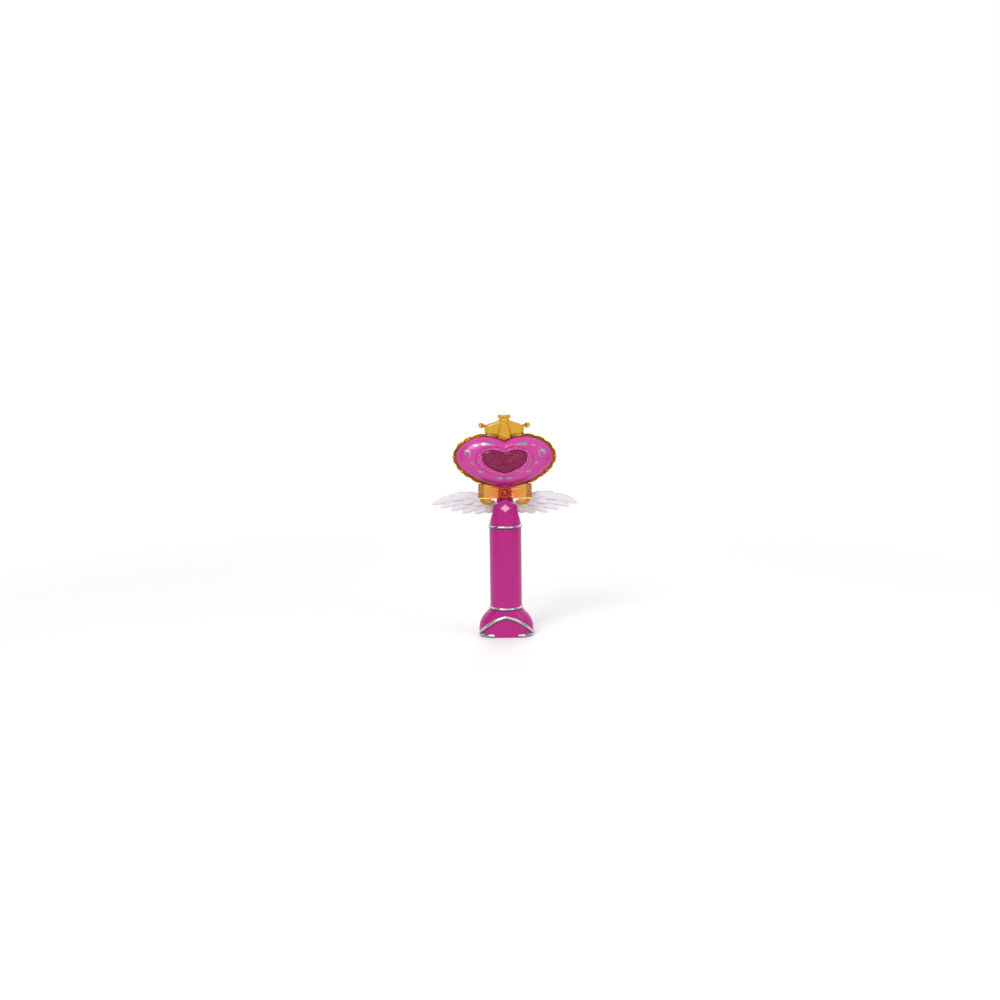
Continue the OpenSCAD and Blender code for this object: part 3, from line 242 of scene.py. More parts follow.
def clear(name, code, roughness, passes, gloss=0.5, deep_code=None):
    """Tinted clear plastic that lets a share of the light through, with a painted deeper tone where the mesh
    says so.
    """
    material, tree, shader = start(name, {"Base Color": linear(code), "Roughness": roughness,
                                          "IOR": CLEAR_IOR, "Transmission Weight": passes,
                                          "Specular IOR Level": gloss})
    place = add(tree, "ShaderNodeTexCoord")
    fine = add(tree, "ShaderNodeTexNoise", {"Scale": 1 / RIPPLE, "Detail": 2}, {"Vector": (place, "Object")})
    wave = add(tree, "ShaderNodeBump", {"Strength": RIPPLE_BUMP, "Distance": RIPPLE_DEPTH},
               {"Height": (fine, "Fac")})
    tree.links.new(wave.outputs["Normal"], shader.inputs["Normal"])
    if deep_code:
        # painted light from the mesh: deeper shade in the crown's bell walls, and the red of the pink stem
        # seen through the bow
        thick = add(tree, "ShaderNodeAttribute", attribute_name="tint")
        tone = add(tree, "ShaderNodeMix", {6: linear(code), 7: linear(deep_code)}, {0: (thick, "Fac")},
                   data_type="RGBA")
        tree.links.new(tone.outputs[2], shader.inputs["Base Color"])
    return material


# honey-coloured and see-through, with a browner painted shade in the walls of the crown's bell
amber = clear("amber_polystyrene_clear", "#dfa81e", 0.04, 0.86, deep_code="#b4700e")
# the same plastic, painted orange-red where the pink stem would shine through it
bow_amber = clear("amber_polystyrene_over_pink", "#dda838", 0.04, 0.8, deep_code="#ff5428")
# so dark that only its prisms glint, and a pink border that sparkles like sugar
lens_magenta = clear("magenta_polystyrene_clear", "#960a4e", 0.1, 0.2, gloss=0.25)
bezel_pink = clear("pink_polystyrene_pebbled", "#d844a6", 0.08, 0.15, gloss=0.7)
# water-clear drop of epoxy round the lamp's chip
lamp_clear = clear("clear_epoxy_lamp", "#f4ecec", 0.05, 0.8)
print("clear plastics made")

# %% [markdown]
# ## Dressing the frame
# Each node of the frame takes the material of its real piece. The frame's meshes are loose
# triangles. Shading them flat would show every facet, so a weld joins them and an edge split keeps
# the true edges sharp: round shells then shade smoothly and bevels stay crisp.

# %% Dress the nodes
SMOOTH_ANGLE = math.radians(32)
PUFFY_ANGLE = math.radians(58)
WELD_GAP = 0.001 * MM
PUFFY = ("crown", "bow", "pommel_front", "pommel_rear")
DRESS = {
    handle_abs: ["pommel_front", "pommel_rear", "grip_front", "grip_rear", "battery_cover", "neck_front",
                 "neck_rear"],
    heart_abs: ["heart_face", "heart_back"],
    gold: ["heart_rim"],
    chrome: ["upper_ring", "lower_ring", "pommel_trim", "reflector"],
    amber: ["crown"],
    bow_amber: ["bow"],
    wing_pearl: ["wing_left", "wing_right"],
    lens_magenta: ["heart_lens"],
    bezel_pink: ["lens_bezel"],
    button_abs: ["diamond_button"],
    zinc: ["cover_screw_upper", "cover_screw_lower", "handle_screws", "head_screws"],
    nickel: ["button_spring", "bridge_contact", "positive_contact", "negative_contact", "speaker_magnet"],
    board_laminate: ["circuit_board", "led_board"],
    blob_epoxy: ["chip_blob"],
    resistor_lacquer: ["resistors"],
    pill_rubber: ["contact_pill"],
    cell_sleeve: ["battery_left", "battery_right"],
    lamp_clear: ["led"],
    pressed_tin: ["speaker_frame"],
    speaker_paper: ["speaker_cone"],
    wire_skins["red"]: ["battery_lead_red"],
    wire_skins["black"]: ["battery_lead_black"],
    wire_skins["white"]: ["led_lead"],
    wire_skins["yellow"]: ["speaker_lead"],
}


def dress(piece, material, angle):
    """The piece takes this material and shades smoothly up to an angle between faces."""
    piece.data.materials.clear()
    piece.data.materials.append(material)
    piece.data.polygons.foreach_set("use_smooth", np.ones(len(piece.data.polygons), bool))
    weld = piece.modifiers.new("weld", "WELD")
    weld.merge_threshold = WELD_GAP
    split = piece.modifiers.new("split", "EDGE_SPLIT")
    split.split_angle = angle


for material, names in DRESS.items():
    for name in names:
        dress(frame["nodes"][name], material, PUFFY_ANGLE if name in PUFFY else SMOOTH_ANGLE)
print("dressed:", sum(len(names) for names in DRESS.values()))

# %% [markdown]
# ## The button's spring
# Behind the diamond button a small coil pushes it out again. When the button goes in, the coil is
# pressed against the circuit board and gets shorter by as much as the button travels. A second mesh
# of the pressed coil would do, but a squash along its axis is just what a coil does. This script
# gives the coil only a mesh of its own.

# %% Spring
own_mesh(frame["nodes"]["button_spring"])

# %% [markdown]
# ## Surfaces from grids
# A moulded piece is one function of two numbers: how far along it, and how far round it. It could be
# sculpted by hand, but working such a grid out as whole arrays gives even, closed meshes whose detail
# is a formula. One helper draws a smooth curve through a few listed points, and one joins grids
# into a piece on the wand.

# %% Helpers for surfaces
MEET_GAP, THIN_EDGE = 0.0005 * MM, 0.0002 * MM


def around(count):
    """Angles of evenly spaced places round a full turn, from zero on."""
    return np.linspace(0, 2 * np.pi, count, endpoint=False)


def unit(vectors):
    """Vectors divided by their lengths."""
    return vectors / np.linalg.norm(vectors, axis=-1, keepdims=True)


def through(points, count, closed=False):
    """Smooth curve through points: between two of them it is the cubic whose slope at each point is
    half the chord between that point's neighbours."""
    points = np.asarray(points, float)
    ends = [points[-1:], points, points[:2]] if closed else [points[:1], points, points[-1:]]
    padded = np.concatenate(ends)
    spans = len(points) - (0 if closed else 1)
    t = np.linspace(0, spans, count, endpoint=not closed)
    i = np.minimum(t.astype(int), spans - 1)
    f = (t - i)[:, None]
    a, b, c, d = (padded[i + k] for k in range(4))
    return b + f / 2 * (c - a + f * (2 * a - 5 * b + 4 * c - d + f * (3 * b - a - 3 * c + d)))


def bezier(a, b, c, d, count):
    """Cubic curve from a to d pulled towards b and c, by the four Bernstein weights, without d itself."""
    t = np.linspace(0, 1, count, endpoint=False)[:, None]
    u = 1 - t
    a, b, c, d = (np.asarray(p, float) for p in (a, b, c, d))
    return u ** 3 * a + 3 * u * u * t * b + 3 * u * t * t * c + t ** 3 * d


def piece_of(name, grids, material, stands_for=(), loops=False, tint=None):
    """One piece on the wand from grids in millimetres. A grid's columns run round it, and its rows run
    from end to end, or round again if it loops. Points that meet are merged, so ends close."""
    corners, quads, first = [], [], 0
    for grid in grids:
        rows, columns = grid.shape[:2]
        row, column = np.meshgrid(np.arange(rows - (not loops)), np.arange(columns), indexing="ij")
        next_row, next_column = (row + 1) % rows, (column + 1) % columns
        faces = np.stack([row * columns + column, row * columns + next_column,
                          next_row * columns + next_column, next_row * columns + column], -1)
        quads.append(first + faces.reshape(-1, 4))
        corners.append(grid.reshape(-1, 3))
        first += rows * columns
    mesh = bpy.data.meshes.new(name)
    mesh.from_pydata((np.concatenate(corners) * MM).tolist(), [], np.concatenate(quads).tolist())
    if tint is not None:
        layer = mesh.attributes.new("tint", "FLOAT", "POINT")
        layer.data.foreach_set("value", np.concatenate([t.reshape(-1) for t in tint]).astype(np.float32))
    work = bmesh.new()
    work.from_mesh(mesh)
    bmesh.ops.remove_doubles(work, verts=work.verts, dist=MEET_GAP)
    bmesh.ops.dissolve_degenerate(work, edges=work.edges, dist=THIN_EDGE)
    bmesh.ops.recalc_face_normals(work, faces=work.faces)
    work.to_mesh(mesh)
    work.free()
    mesh.polygons.foreach_set("use_smooth", np.ones(len(mesh.polygons), bool))
    mesh.materials.append(material)
    piece = bpy.data.objects.new(name, mesh)
    bpy.context.scene.collection.objects.link(piece)
    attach(piece, "wand")
    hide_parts(*stands_for)
    print(name, "faces:", len(mesh.polygons))


def mirrored(grid):
    """The same grid on the other side of the wand's middle plane."""
    return grid * np.array([-1, 1, 1])


# %% [markdown]
# ## The heart's outline
# The head is a broad heart. Half of it is three cubic curves: from the tip out to the side, over the
# lobe's shoulder to its crest, and down into the cleft. A curve drawn by hand would serve one piece,
# but a function serves the shell, the rim and the lens. Every ring of the puffy shell is a scaled
# copy of it, so the crease below the cleft comes by itself.

# %% Heart outline
RIM_HALF = 1.5
HEART_TOP = 26.5
OUTLINE_STEP = 16
face_low, face_high = (np.array(corner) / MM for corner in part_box("heart_face"))
heart_half = face_high[0]
heart_z = face_high[2] - HEART_TOP
face_depth = -face_low[1] - RIM_HALF
# sizes in mm about the centre, and where each curve is pulled to, as shares of those sizes
HEAD = {"half": heart_half, "top": HEART_TOP, "cleft": 21.3, "side": 4.5, "tip": 27.4,
        "tip_pull": (0.5, 0.95), "hip_pull": (1, 0.31), "shoulder_pull": (1, 0.62), "lobe_pull": (0.72, 1),
        "crest": 0.38, "crest_pull": 0.25, "cleft_pull": (0.115, 0.93)}
LENS = {"half": 23.8, "top": 12.2, "cleft": 8.8, "side": 5.4, "tip": 12.4,
        "tip_pull": (0.45, 0.84), "hip_pull": (1, 0.33), "shoulder_pull": (1, 0.78), "lobe_pull": (0.82, 1),
        "crest": 0.57, "crest_pull": 0.36, "cleft_pull": (0.14, 0.88)}


def heart_outline(form, step):
    """Closed outline about the heart's centre, from the tip round by the right side: curves of 6, 4 and 2
    times step points for the right half, and their mirror image."""
    w, top, low = form["half"], form["top"], -form["tip"]
    high, deep = np.array([w, top]), np.array([w, low])
    side, cleft, crest = (w, form["side"]), (0, form["cleft"]), (form["crest"] * w, top)
    right = np.concatenate([
        bezier((0, low), deep * form["tip_pull"], deep * form["hip_pull"], side, 6 * step),
        bezier(side, high * form["shoulder_pull"], high * form["lobe_pull"], crest, 4 * step),
        bezier(crest, (form["crest_pull"] * w, top), high * form["cleft_pull"], cleft, 2 * step)])
    return np.concatenate([right, [cleft], right[:0:-1] * (-1, 1)])


def stood(places, y):
    """Front-view places about the heart's centre, stood up at depth y."""
    x, z = places[..., 0], places[..., 1]
    return np.stack([x, np.broadcast_to(y, x.shape), heart_z + z], -1)


outline = heart_outline(HEAD, OUTLINE_STEP)
print("outline points:", len(outline), "heart centre in mm:", round(float(heart_z), 1))

# %% [markdown]
# ## The puffy face
# The front shell is blown up like a cushion: it leaves the rim steeply, crowns two thirds of the
# way in, and dips to the window for the lens. Inflating a cloth would give a cushion too, but not this
# exact one. A short list of shares gives the section, and a smooth curve through them is carried round
# the outline and back along the inside.

# %% Puffy face
# share of the outline, and share of the face's depth
FACE_SECTION = [(1, 0), (0.992, 0.2), (0.965, 0.42), (0.91, 0.64), (0.83, 0.82), (0.74, 0.94), (0.66, 1),
                (0.6, 0.99), (0.575, 0.94)]
FACE_INSIDE = [(0.575, 0.8), (0.64, 0.85), (0.74, 0.79), (0.83, 0.66), (0.89, 0.48), (0.93, 0.24), (0.935, 0)]
FACE_ROWS, INSIDE_ROWS = 48, 24
section = np.concatenate([through(FACE_SECTION, FACE_ROWS), through(FACE_INSIDE, INSIDE_ROWS)])
shell = stood(section[:, None, :1] * outline, (-RIM_HALF - face_depth * section[:, 1])[:, None])
piece_of("heart_face_shell", [shell], heart_abs, ["heart_face"], loops=True)

reach_angle = np.arctan2(outline[:, 1], outline[:, 0])
reach = np.hypot(outline[:, 0], outline[:, 1])


def face_y(x, z):
    """Depth of the face at a front-view place: the place's distance from the centre over the outline's
    reach in that direction is its share, and the section gives the depth there."""
    far = np.interp(np.arctan2(z, x), reach_angle, reach, period=2 * np.pi)
    front = section[FACE_ROWS - 1::-1]
    return -RIM_HALF - face_depth * np.interp(np.hypot(x, z) / far, front[:, 0], front[:, 1])


# %% [markdown]
# ## The gold rim
# Behind the pink face a metallised frame shows all round: two ridges with a groove between them,
# swelling in scallops, with a bead in the notch at four places. A curve with a bevel profile keeps one
# width, so the section is carried round the outline along its normals instead, and the scallops are
# the absolute value of a sine. The groove is darkened by painted shade, which an attribute marks.

# %% Gold rim
RIM_W, RIM_T = 3.9, 3.0
SCALLOP, CLEFT_KEEP = 0.3, 0.3
RIM_STEP, RIM_COLUMNS = 20, 90
BEAD_D = 4.4
# the notches that hold a bead, counted from the tip
BEAD_NOTCHES = (4, 6)
# share of the rim's width outwards, and share of its thickness to the rear
RIM_SECTION = [(-0.95, 0.5), (0.85, 0.5), (1, -0.1), (0.9, -0.8), (0.76, -0.95), (0.62, -0.8), (0.53, -0.45),
               (0.44, -0.75), (0.31, -0.95), (0.18, -0.8), (0.08, -0.45), (-0.95, -0.45)]
# painted shade in the grooves: place across the rim, half width there, and how dark
GROOVE_SHADE_LINES = [(0.53, 0.04, 0.75), (0.04, 0.05, 0.35)]


def ball(centre, radius, rows=20, columns=28):
    """Sphere: circles of the sine of the polar angle, stacked along its cosine."""
    polar, turn = np.meshgrid(np.linspace(0, np.pi, rows), around(columns), indexing="ij")
    direction = np.stack([np.sin(polar) * np.cos(turn), np.sin(polar) * np.sin(turn), np.cos(polar)], -1)
    return np.asarray(centre) + radius * direction


rim_line = heart_outline(HEAD, RIM_STEP)
tangent = unit(np.roll(rim_line, -1, 0) - np.roll(rim_line, 1, 0))
# the outward normal is the tangent turned by a quarter
rim_normal = np.stack([tangent[:, 1], -tangent[:, 0]], -1)
swell = 1 - SCALLOP + SCALLOP * np.abs(np.sin(np.pi * np.arange(len(rim_line)) / RIM_STEP))
fade = np.where(rim_line[:, 1] < 0, 1, np.minimum(1, CLEFT_KEEP + np.abs(rim_line[:, 0]) / (2 * RIM_W)))
rim_section = through(RIM_SECTION, RIM_COLUMNS, closed=True)
out_share = rim_section[None, :, 0]
# painted shade in the groove between the ridges and at the inner ridge's foot
groove_shade = sum(dark * np.exp(-((out_share - place) / half) ** 2) for place, half, dark in GROOVE_SHADE_LINES)
groove_shade = np.where(rim_section[None, :, 1] < 0, groove_shade, 0) * np.ones((len(rim_line), 1))
stretch = np.where(out_share > 0, (swell * fade)[:, None], 1)
rim_places = rim_line[:, None] + rim_normal[:, None] * (out_share * RIM_W * stretch)[..., None]
rim_grid = stood(rim_places, RIM_T * rim_section[None, :, 1])
piece_of("heart_rim_frame", [rim_grid], gold, ["heart_rim"], loops=True, tint=[groove_shade])

beads = []
for notch in BEAD_NOTCHES:
    place = rim_line[notch * RIM_STEP] + rim_normal[notch * RIM_STEP] * RIM_W / 2
    bead = ball((place[0], 0, heart_z + place[1]), BEAD_D / 2)
    beads += [bead, mirrored(bead)]
piece_of("heart_rim_beads", beads, gold)

# %% [markdown]
# ## Lens and pebbled border
# The lens is a dark transparent heart with a bevelled edge and rows of small prisms that scatter the
# lamp's light. Round it lies a clear pink border whose face is pebbled. A bump map could fake both,
# but real relief also glints from the side. The prisms are two sine waves multiplied, whose dots run
# on the diagonals. Each pebble is a low dome over a seed point of a shaken grid.

# %% Lens
LENS_T, LENS_RISE, LENS_ROWS = 1.6, 2.2, 80
PRISM_PITCH, PRISM_H = 2.5, 0.42
# the prisms end at this share of the outline, over this width
PRISM_EDGE, PRISM_FADE = 0.84, 0.05
# share of the outline, and share of the rise
LENS_SECTION = [(1, 0), (0.985, 0.22), (0.93, 0.42), (0.85, 0.62), (0.6, 0.92), (0.3, 1), (0, 1)]
lens_edge_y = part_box("heart_lens")[1].y / MM - LENS_T
lens_line = heart_outline(LENS, OUTLINE_STEP)
lens_section = through(LENS_SECTION, LENS_ROWS)
lens_places = lens_section[:, None, :1] * lens_line
waves = np.sin(2 * np.pi * lens_places / PRISM_PITCH)
crossed = waves[..., 0] * waves[..., 1]
inner = np.clip((PRISM_EDGE - lens_section[:, :1]) / PRISM_FADE, 0, 1)
lens_front = stood(lens_places, lens_edge_y - LENS_RISE * lens_section[:, 1:] - PRISM_H * inner * crossed)
lens_back = stood(np.array([0, 1])[:, None, None] * lens_line, lens_edge_y + LENS_T)
piece_of("lens_prisms", [np.concatenate([lens_back, lens_front])], lens_magenta, ["heart_lens"])

# %% Pebbled border
BORDER_T, BORDER_STEP, BORDER_ROWS = 2.0, 40, 32
# where the border starts, as a share of the lens, and where it ends, as a share of the heart
BORDER_IN, BORDER_OUT = 1.012, 0.577
PEBBLE_PITCH, PEBBLE_H, PEBBLE_REACH, PEBBLE_SHAKE = 2.4, 0.9, 0.62, 0.35
SEEDS_ACROSS, SEEDS_UP = (-32, 33), (-18, 18)
shaker = np.random.default_rng(11)
seed_rows = np.meshgrid(np.arange(*SEEDS_ACROSS, PEBBLE_PITCH), np.arange(*SEEDS_UP, PEBBLE_PITCH))
seeds = np.stack(seed_rows, -1).reshape(-1, 2)
seeds = seeds + shaker.uniform(-PEBBLE_SHAKE, PEBBLE_SHAKE, seeds.shape) * PEBBLE_PITCH
border_in = BORDER_IN * heart_outline(LENS, BORDER_STEP)
border_out = BORDER_OUT * heart_outline(HEAD, BORDER_STEP)
outwards = np.linspace(0, 1, BORDER_ROWS)[:, None, None]
border_places = border_in + outwards * (border_out - border_in)
nearest = np.min(np.linalg.norm(border_places[:, :, None] - seeds, axis=-1), axis=-1)
dome = PEBBLE_H * np.clip(1 - (nearest / (PEBBLE_REACH * PEBBLE_PITCH)) ** 2, 0, 1)
border_front = stood(border_places, lens_edge_y - BORDER_T / 2 - dome)
border_back = stood(np.stack([border_out, border_in]), lens_edge_y + BORDER_T / 2)
piece_of("lens_border_pebbled", [np.concatenate([border_front, border_back])], bezel_pink,
         ["lens_bezel"], loops=True)

# %% [markdown]
# ## Silver marks
# Dots, dashes and commas of silver foil are hot-stamped on the pink face. A picture on the face could
# show them, but foil has its own gloss and a crisp edge. Each mark is a brush stroke: a path with a
# width that changes along it, laid on the face by the depth function above.

# %% Silver marks
FOIL_T, FOIL_GRAIN = 0.12, 1.2 * MM
STROKE_ROWS, STROKE_COLUMNS = 40, 9
# a path in mm about the heart's centre, and the widths along it
STROKES = [
    ([(-33.4, 17.2), (-30.6, 17.4), (-27.8, 17.3)], [0.3, 2.6, 0.3]),
    ([(-24.2, 18.6), (-22.8, 18.6), (-16, 18.2), (-9.4, 16.8)], [3.0, 3.9, 2.6, 0.2]),
    ([(-42.6, 7.6), (-42.4, 10.4), (-39.6, 11.8), (-36.8, 9.6), (-37.4, 6.2), (-40.2, 3.6)],
     [2.0, 3.4, 2.6, 2.2, 1.8, 0.2]),
    ([(-35.8, 0.6), (-34, -1.6), (-31.2, -3.2)], [0.3, 2.2, 0.3]),
    ([(-29.2, -9.2), (-25.6, -10.6), (-22, -10.4)], [0.3, 2.8, 0.4]),
    ([(-8.4, -17), (-5, -17.8), (-1.6, -18)], [0.4, 2.8, 0.4]),
]

# stamped foil: a grey metal gleam, a little uneven where the stamp pressed less
foil, tree, shader = start("silver_foil_stamped", {"Metallic": 1, "Roughness": 0.32})
place = add(tree, "ShaderNodeTexCoord")
grain = add(tree, "ShaderNodeTexNoise", {"Scale": 1 / FOIL_GRAIN, "Detail": 3}, {"Vector": (place, "Object")})
tone = add(tree, "ShaderNodeMix", {6: linear("#a89da6"), 7: linear("#857b84")}, {0: (grain, "Fac")},
           data_type="RGBA")
tree.links.new(tone.outputs[2], shader.inputs["Base Color"])


def stroke(points, widths):
    """Flat stroke on the face: the path offset along its normal by half its width each way, raised by
    the foil's thickness in front and sunk as much behind, so that it is a closed pad."""
    path = through(points, STROKE_ROWS)
    width = through(np.array(widths)[:, None], STROKE_ROWS)[:, 0]
    tangent = unit(np.gradient(path, axis=0))
    normal = np.stack([-tangent[:, 1], tangent[:, 0]], -1)
    across = np.linspace(-1, 1, STROKE_COLUMNS)
    places = path[:, None] + normal[:, None] * (across * width[:, None] / 2)[..., None]
    depth = face_y(places[..., 0], places[..., 1])
    pad = np.concatenate([stood(places, depth - FOIL_T), stood(places, depth + FOIL_T)[:, ::-1]], 1)
    pad[0], pad[-1] = pad[0].mean(0), pad[-1].mean(0)
    return pad


marks = [stroke(*row) for row in STROKES]
piece_of("silver_marks", marks + [mirrored(mark) for mark in marks], foil)

# %% [markdown]
# ## Wings
# Each wing is a fan of moulded feathers in two rows: long ones below and short coverts over their
# roots. A relief carved in one plate would look flat, so each feather is a leaf-shaped pillow that
# overlaps the next. Its edge is a little darker as painted shade where the feathers overlap, and an
# attribute on the mesh carries that to the material.

# %% Wings
# front-view corner and size in mm
WING_ROOT = np.array([12.95, 133.5])
WING_SIZE = np.array([65.6, 23.6])
FEATHER_T, FEATHER_STEP, CAMBER = 2.0, 0.5, 0.07
FEATHER_ROWS, FEATHER_COLUMNS, SHADE_EDGE_POWER = 44, 36, 10
# root and tip as shares of the wing's size, and width as a share of its height
COVERTS = [(-0.02, 0.4, 0.57, 0.93, 0.36), (0.4, 0.82, 0.69, 0.68, 0.4), (0.26, 0.7, 0.51, 0.49, 0.42),
           (0.12, 0.58, 0.33, 0.42, 0.4), (-0.02, 0.46, 0.18, 0.36, 0.36)]
PRIMARIES = [(0.46, 0.74, 1, 0.43, 0.34), (0.36, 0.62, 0.88, 0.28, 0.36), (0.24, 0.5, 0.7, 0.15, 0.38),
             (0.12, 0.42, 0.52, 0.02, 0.4), (0, 0.36, 0.31, 0, 0.42), (-0.06, 0.26, 0.14, 0.05, 0.36)]
# share of a feather's length, and share of its width there
LEAF = [(0, 0.6), (0.12, 0.82), (0.35, 1), (0.6, 0.95), (0.8, 0.72), (0.93, 0.4), (1, 0)]
# the root's block in mm: its ends along x, then its size and its middle in depth and height
TAB_REACH, TAB_SIZE, TAB_PLACE = (10.2, 17.5), np.array([3, 7]), np.array([1.5, 139.9])
TAB_POWER, TAB_COLUMNS = 0.3, 40


def feather(shares, y):
    """Pillow along a line from root to tip: at each station an ellipse, as wide as the leaf there and as
    thick as the feather, drawn towards the camber's bow. Gives the grid and each point's painted shade
    at the feather's edge."""
    root, tip = WING_ROOT + WING_SIZE * shares[:2], WING_ROOT + WING_SIZE * shares[2:4]
    along = tip - root
    across = np.array([-along[1], along[0]])
    leaf = through(LEAF, FEATHER_ROWS)
    leaf[-1, 1] = 0
    u, half = leaf[:, :1], np.maximum(leaf[:, 1:], 0)
    turn = around(FEATHER_COLUMNS)
    side = half * shares[4] * WING_SIZE[1] / 2 * np.cos(turn) / np.linalg.norm(across)
    places = root + u[..., None] * along + (CAMBER * np.sin(np.pi * u) + side)[..., None] * across
    thick = FEATHER_T / 2 * np.sqrt(half) * np.sin(turn)
    x = np.maximum(places[..., 0], WING_ROOT[0])
    grid = np.stack([x, y + FEATHER_T / 2 + thick, places[..., 1]], -1)
    return grid, np.abs(np.cos(turn)) ** SHADE_EDGE_POWER * np.ones_like(u)


def root_tab():
    """Block that the neck's shells grip: a rounded rectangle carried along the wing's root."""
    turn = around(TAB_COLUMNS)
    across = np.stack([np.cos(turn), np.sin(turn)], -1)
    across = np.sign(across) * np.abs(across) ** TAB_POWER * TAB_SIZE / 2 + TAB_PLACE
    x = np.array(TAB_REACH)[[0, 0, 1, 1]][:, None] * np.ones(len(turn))
    opened = np.array([0, 1, 1, 0])[:, None, None]
    across = TAB_PLACE + opened * (across - TAB_PLACE)
    return np.stack([x, across[..., 0], across[..., 1]], -1), np.zeros_like(x)


fan = [feather(np.array(row), -FEATHER_T - FEATHER_STEP + i * FEATHER_STEP) for i, row in enumerate(COVERTS)]
fan += [feather(np.array(row), -FEATHER_T / 2 + i * FEATHER_STEP) for i, row in enumerate(PRIMARIES)]
fan += [root_tab()]
feather_shade_tints = [tint for _, tint in fan]
piece_of("wing_right_feathers", [grid for grid, _ in fan], wing_pearl, ["wing_right"],
         tint=feather_shade_tints)
piece_of("wing_left_feathers", [mirrored(grid) for grid, _ in fan], wing_pearl, ["wing_left"],
         tint=feather_shade_tints)

# %% [markdown]
# ## The crown
# The crown is one clear amber moulding: a pillow over the crown's outline, a knob, two balls on
# short arms, and a bell-shaped cabochon on the front whose sides catch the lamps. The bell could be
# a piece of its own, but two clear skins inside each other show dark lines, so it is added to the
# depth of the body. The body is a stack of scaled outlines, and its lower edge is lifted to sit on
# the heart's lobes.

# %% Crown's body
CROWN_HALF_W, CROWN_H, CROWN_DEPTH, CROWN_SINK = 21.2, 17.2, 11.0, 9.1
CROWN_MIDDLE_SHARE, CROWN_ROWS, CROWN_COLUMNS, SHOULDER_POINTS = 0.4, 150, 288, 8
# room in mm over the face and over the gold rim, and the depth at which the rim starts
SEAT_FRONT, SEAT_REAR, RIM_FRONT = 0.6, 4.2, -2.9
BELL_HALF_W, BELL_H, BELL_Z, BELL_RISE = 7.7, 10.4, 222.0, 3.4
# how round the bell is, and the share of the depth over which it fades at the edge
BELL_POWER, BELL_FADE = 0.6, 0.5
# painted deeper shade in the bell's walls: half their width as a share of the bell's, and the depth they
# start at
WALL_SHARE, WALL_START = 0.16, -0.3
# share of the bell's height, and share of its half width there
BELL = np.array([(-1.2, 0.95), (-0.75, 0.95), (-0.55, 1), (0.1, 0.8), (0.5, 0.66), (0.88, 0.42), (1, 0.02)])
# share of the outline, and share of half the depth
PUFF = [(0, 1), (0.3, 1), (0.65, 0.95), (0.86, 0.8), (0.96, 0.55), (1, 0.2), (1, -0.2), (0.96, -0.55),
        (0.86, -0.8), (0.65, -0.95), (0.3, -1), (0, -1)]
crown_z = heart_z + HEART_TOP
crown_middle = np.array([0, CROWN_MIDDLE_SHARE * CROWN_H])
# right half of the outline, in shares of the half width and the height
crown_right = np.concatenate([[(0, -CROWN_SINK / CROWN_H), (0.94, -0.2), (0.96, 0.05), (1, 0.5)],
                              bezier((1, 0.56), (0.9, 0.84), (0.52, 0.86), (0.3, 1), SHOULDER_POINTS),
                              [(0.3, 1)]])
crown_half = np.concatenate([crown_right, [(0, 1)], crown_right[:0:-1] * (-1, 1)]) * (CROWN_HALF_W, CROWN_H)
crown_line = through(crown_half, CROWN_COLUMNS, closed=True) - crown_middle
puff = through(PUFF, CROWN_ROWS)
in_depth = puff[:, 1:]
crown_places = puff[:, None, :1] * crown_line + crown_middle + (0, crown_z)
crown_x, crown_up = crown_places[..., 0], crown_places[..., 1]
bell_half = BELL_HALF_W * np.interp((crown_up - BELL_Z) / BELL_H, BELL[:, 0], BELL[:, 1])
bell = BELL_RISE * np.clip(1 - (crown_x / bell_half) ** 2, 0, 1) ** BELL_POWER
raised = np.where(in_depth < 0, np.minimum(1, -in_depth / BELL_FADE) * bell, 0)
crown_y = in_depth * CROWN_DEPTH / 2 * np.ones(len(crown_line)) - raised
lobe = outline[9 * OUTLINE_STEP:12 * OUTLINE_STEP + 1][::-1]
seat = heart_z + np.interp(np.abs(crown_x), lobe[:, 0], lobe[:, 1])
seat = seat + np.where(crown_y < RIM_FRONT, SEAT_FRONT, SEAT_REAR)
crown_body = np.stack([crown_x, crown_y, np.maximum(crown_up, seat)], -1)
bell_wall_shade = np.exp(-((np.abs(crown_x / bell_half) - 1) / WALL_SHARE) ** 2)
crown_wall_shade = np.where(in_depth < WALL_START, bell_wall_shade, 0)
print("crown's body:", crown_body.shape)

# %% Crown's knob, arms and balls
BALL_D, ARM_D = 6.2, 3.4
# the ball's place outwards in its own size, and ball and arm upwards in shares of the crown's height
BALL_OUT, BALL_UP, ARM_UP = 0.55, 0.68, 0.62
# radius and height in mm
KNOB = [(0, -0.5), (5.2, -0.5), (5.2, 1.6), (5.7, 2.2), (6.8, 2.8), (7.05, 3.9), (6.6, 5.2), (5.2, 5.75),
        (0, 5.8)]
KNOB_ROWS = 60


def turned(section, z, count=48):
    """Section of radius and height turned round the upright axis."""
    angle = around(count)
    radius, height = np.maximum(section[:, :1], 0), section[:, 1:]
    return np.stack([radius * np.cos(angle), radius * np.sin(angle), z + height + 0 * angle], -1)


def rod(a, b, radius, count=20):
    """Round rod between two places in the middle plane: a circle carried along, with flat ends that
    close in a point."""
    a, b = np.array([a[0], 0, a[1]]), np.array([b[0], 0, b[1]])
    along = unit(b - a)
    side = np.array([-along[2], 0, along[0]])
    angle = around(count)[:, None]
    ring = radius * (np.cos(angle) * side + np.sin(angle) * np.array([0, 1, 0]))
    return np.stack([a + 0 * ring, a + ring, b + ring, b + 0 * ring])


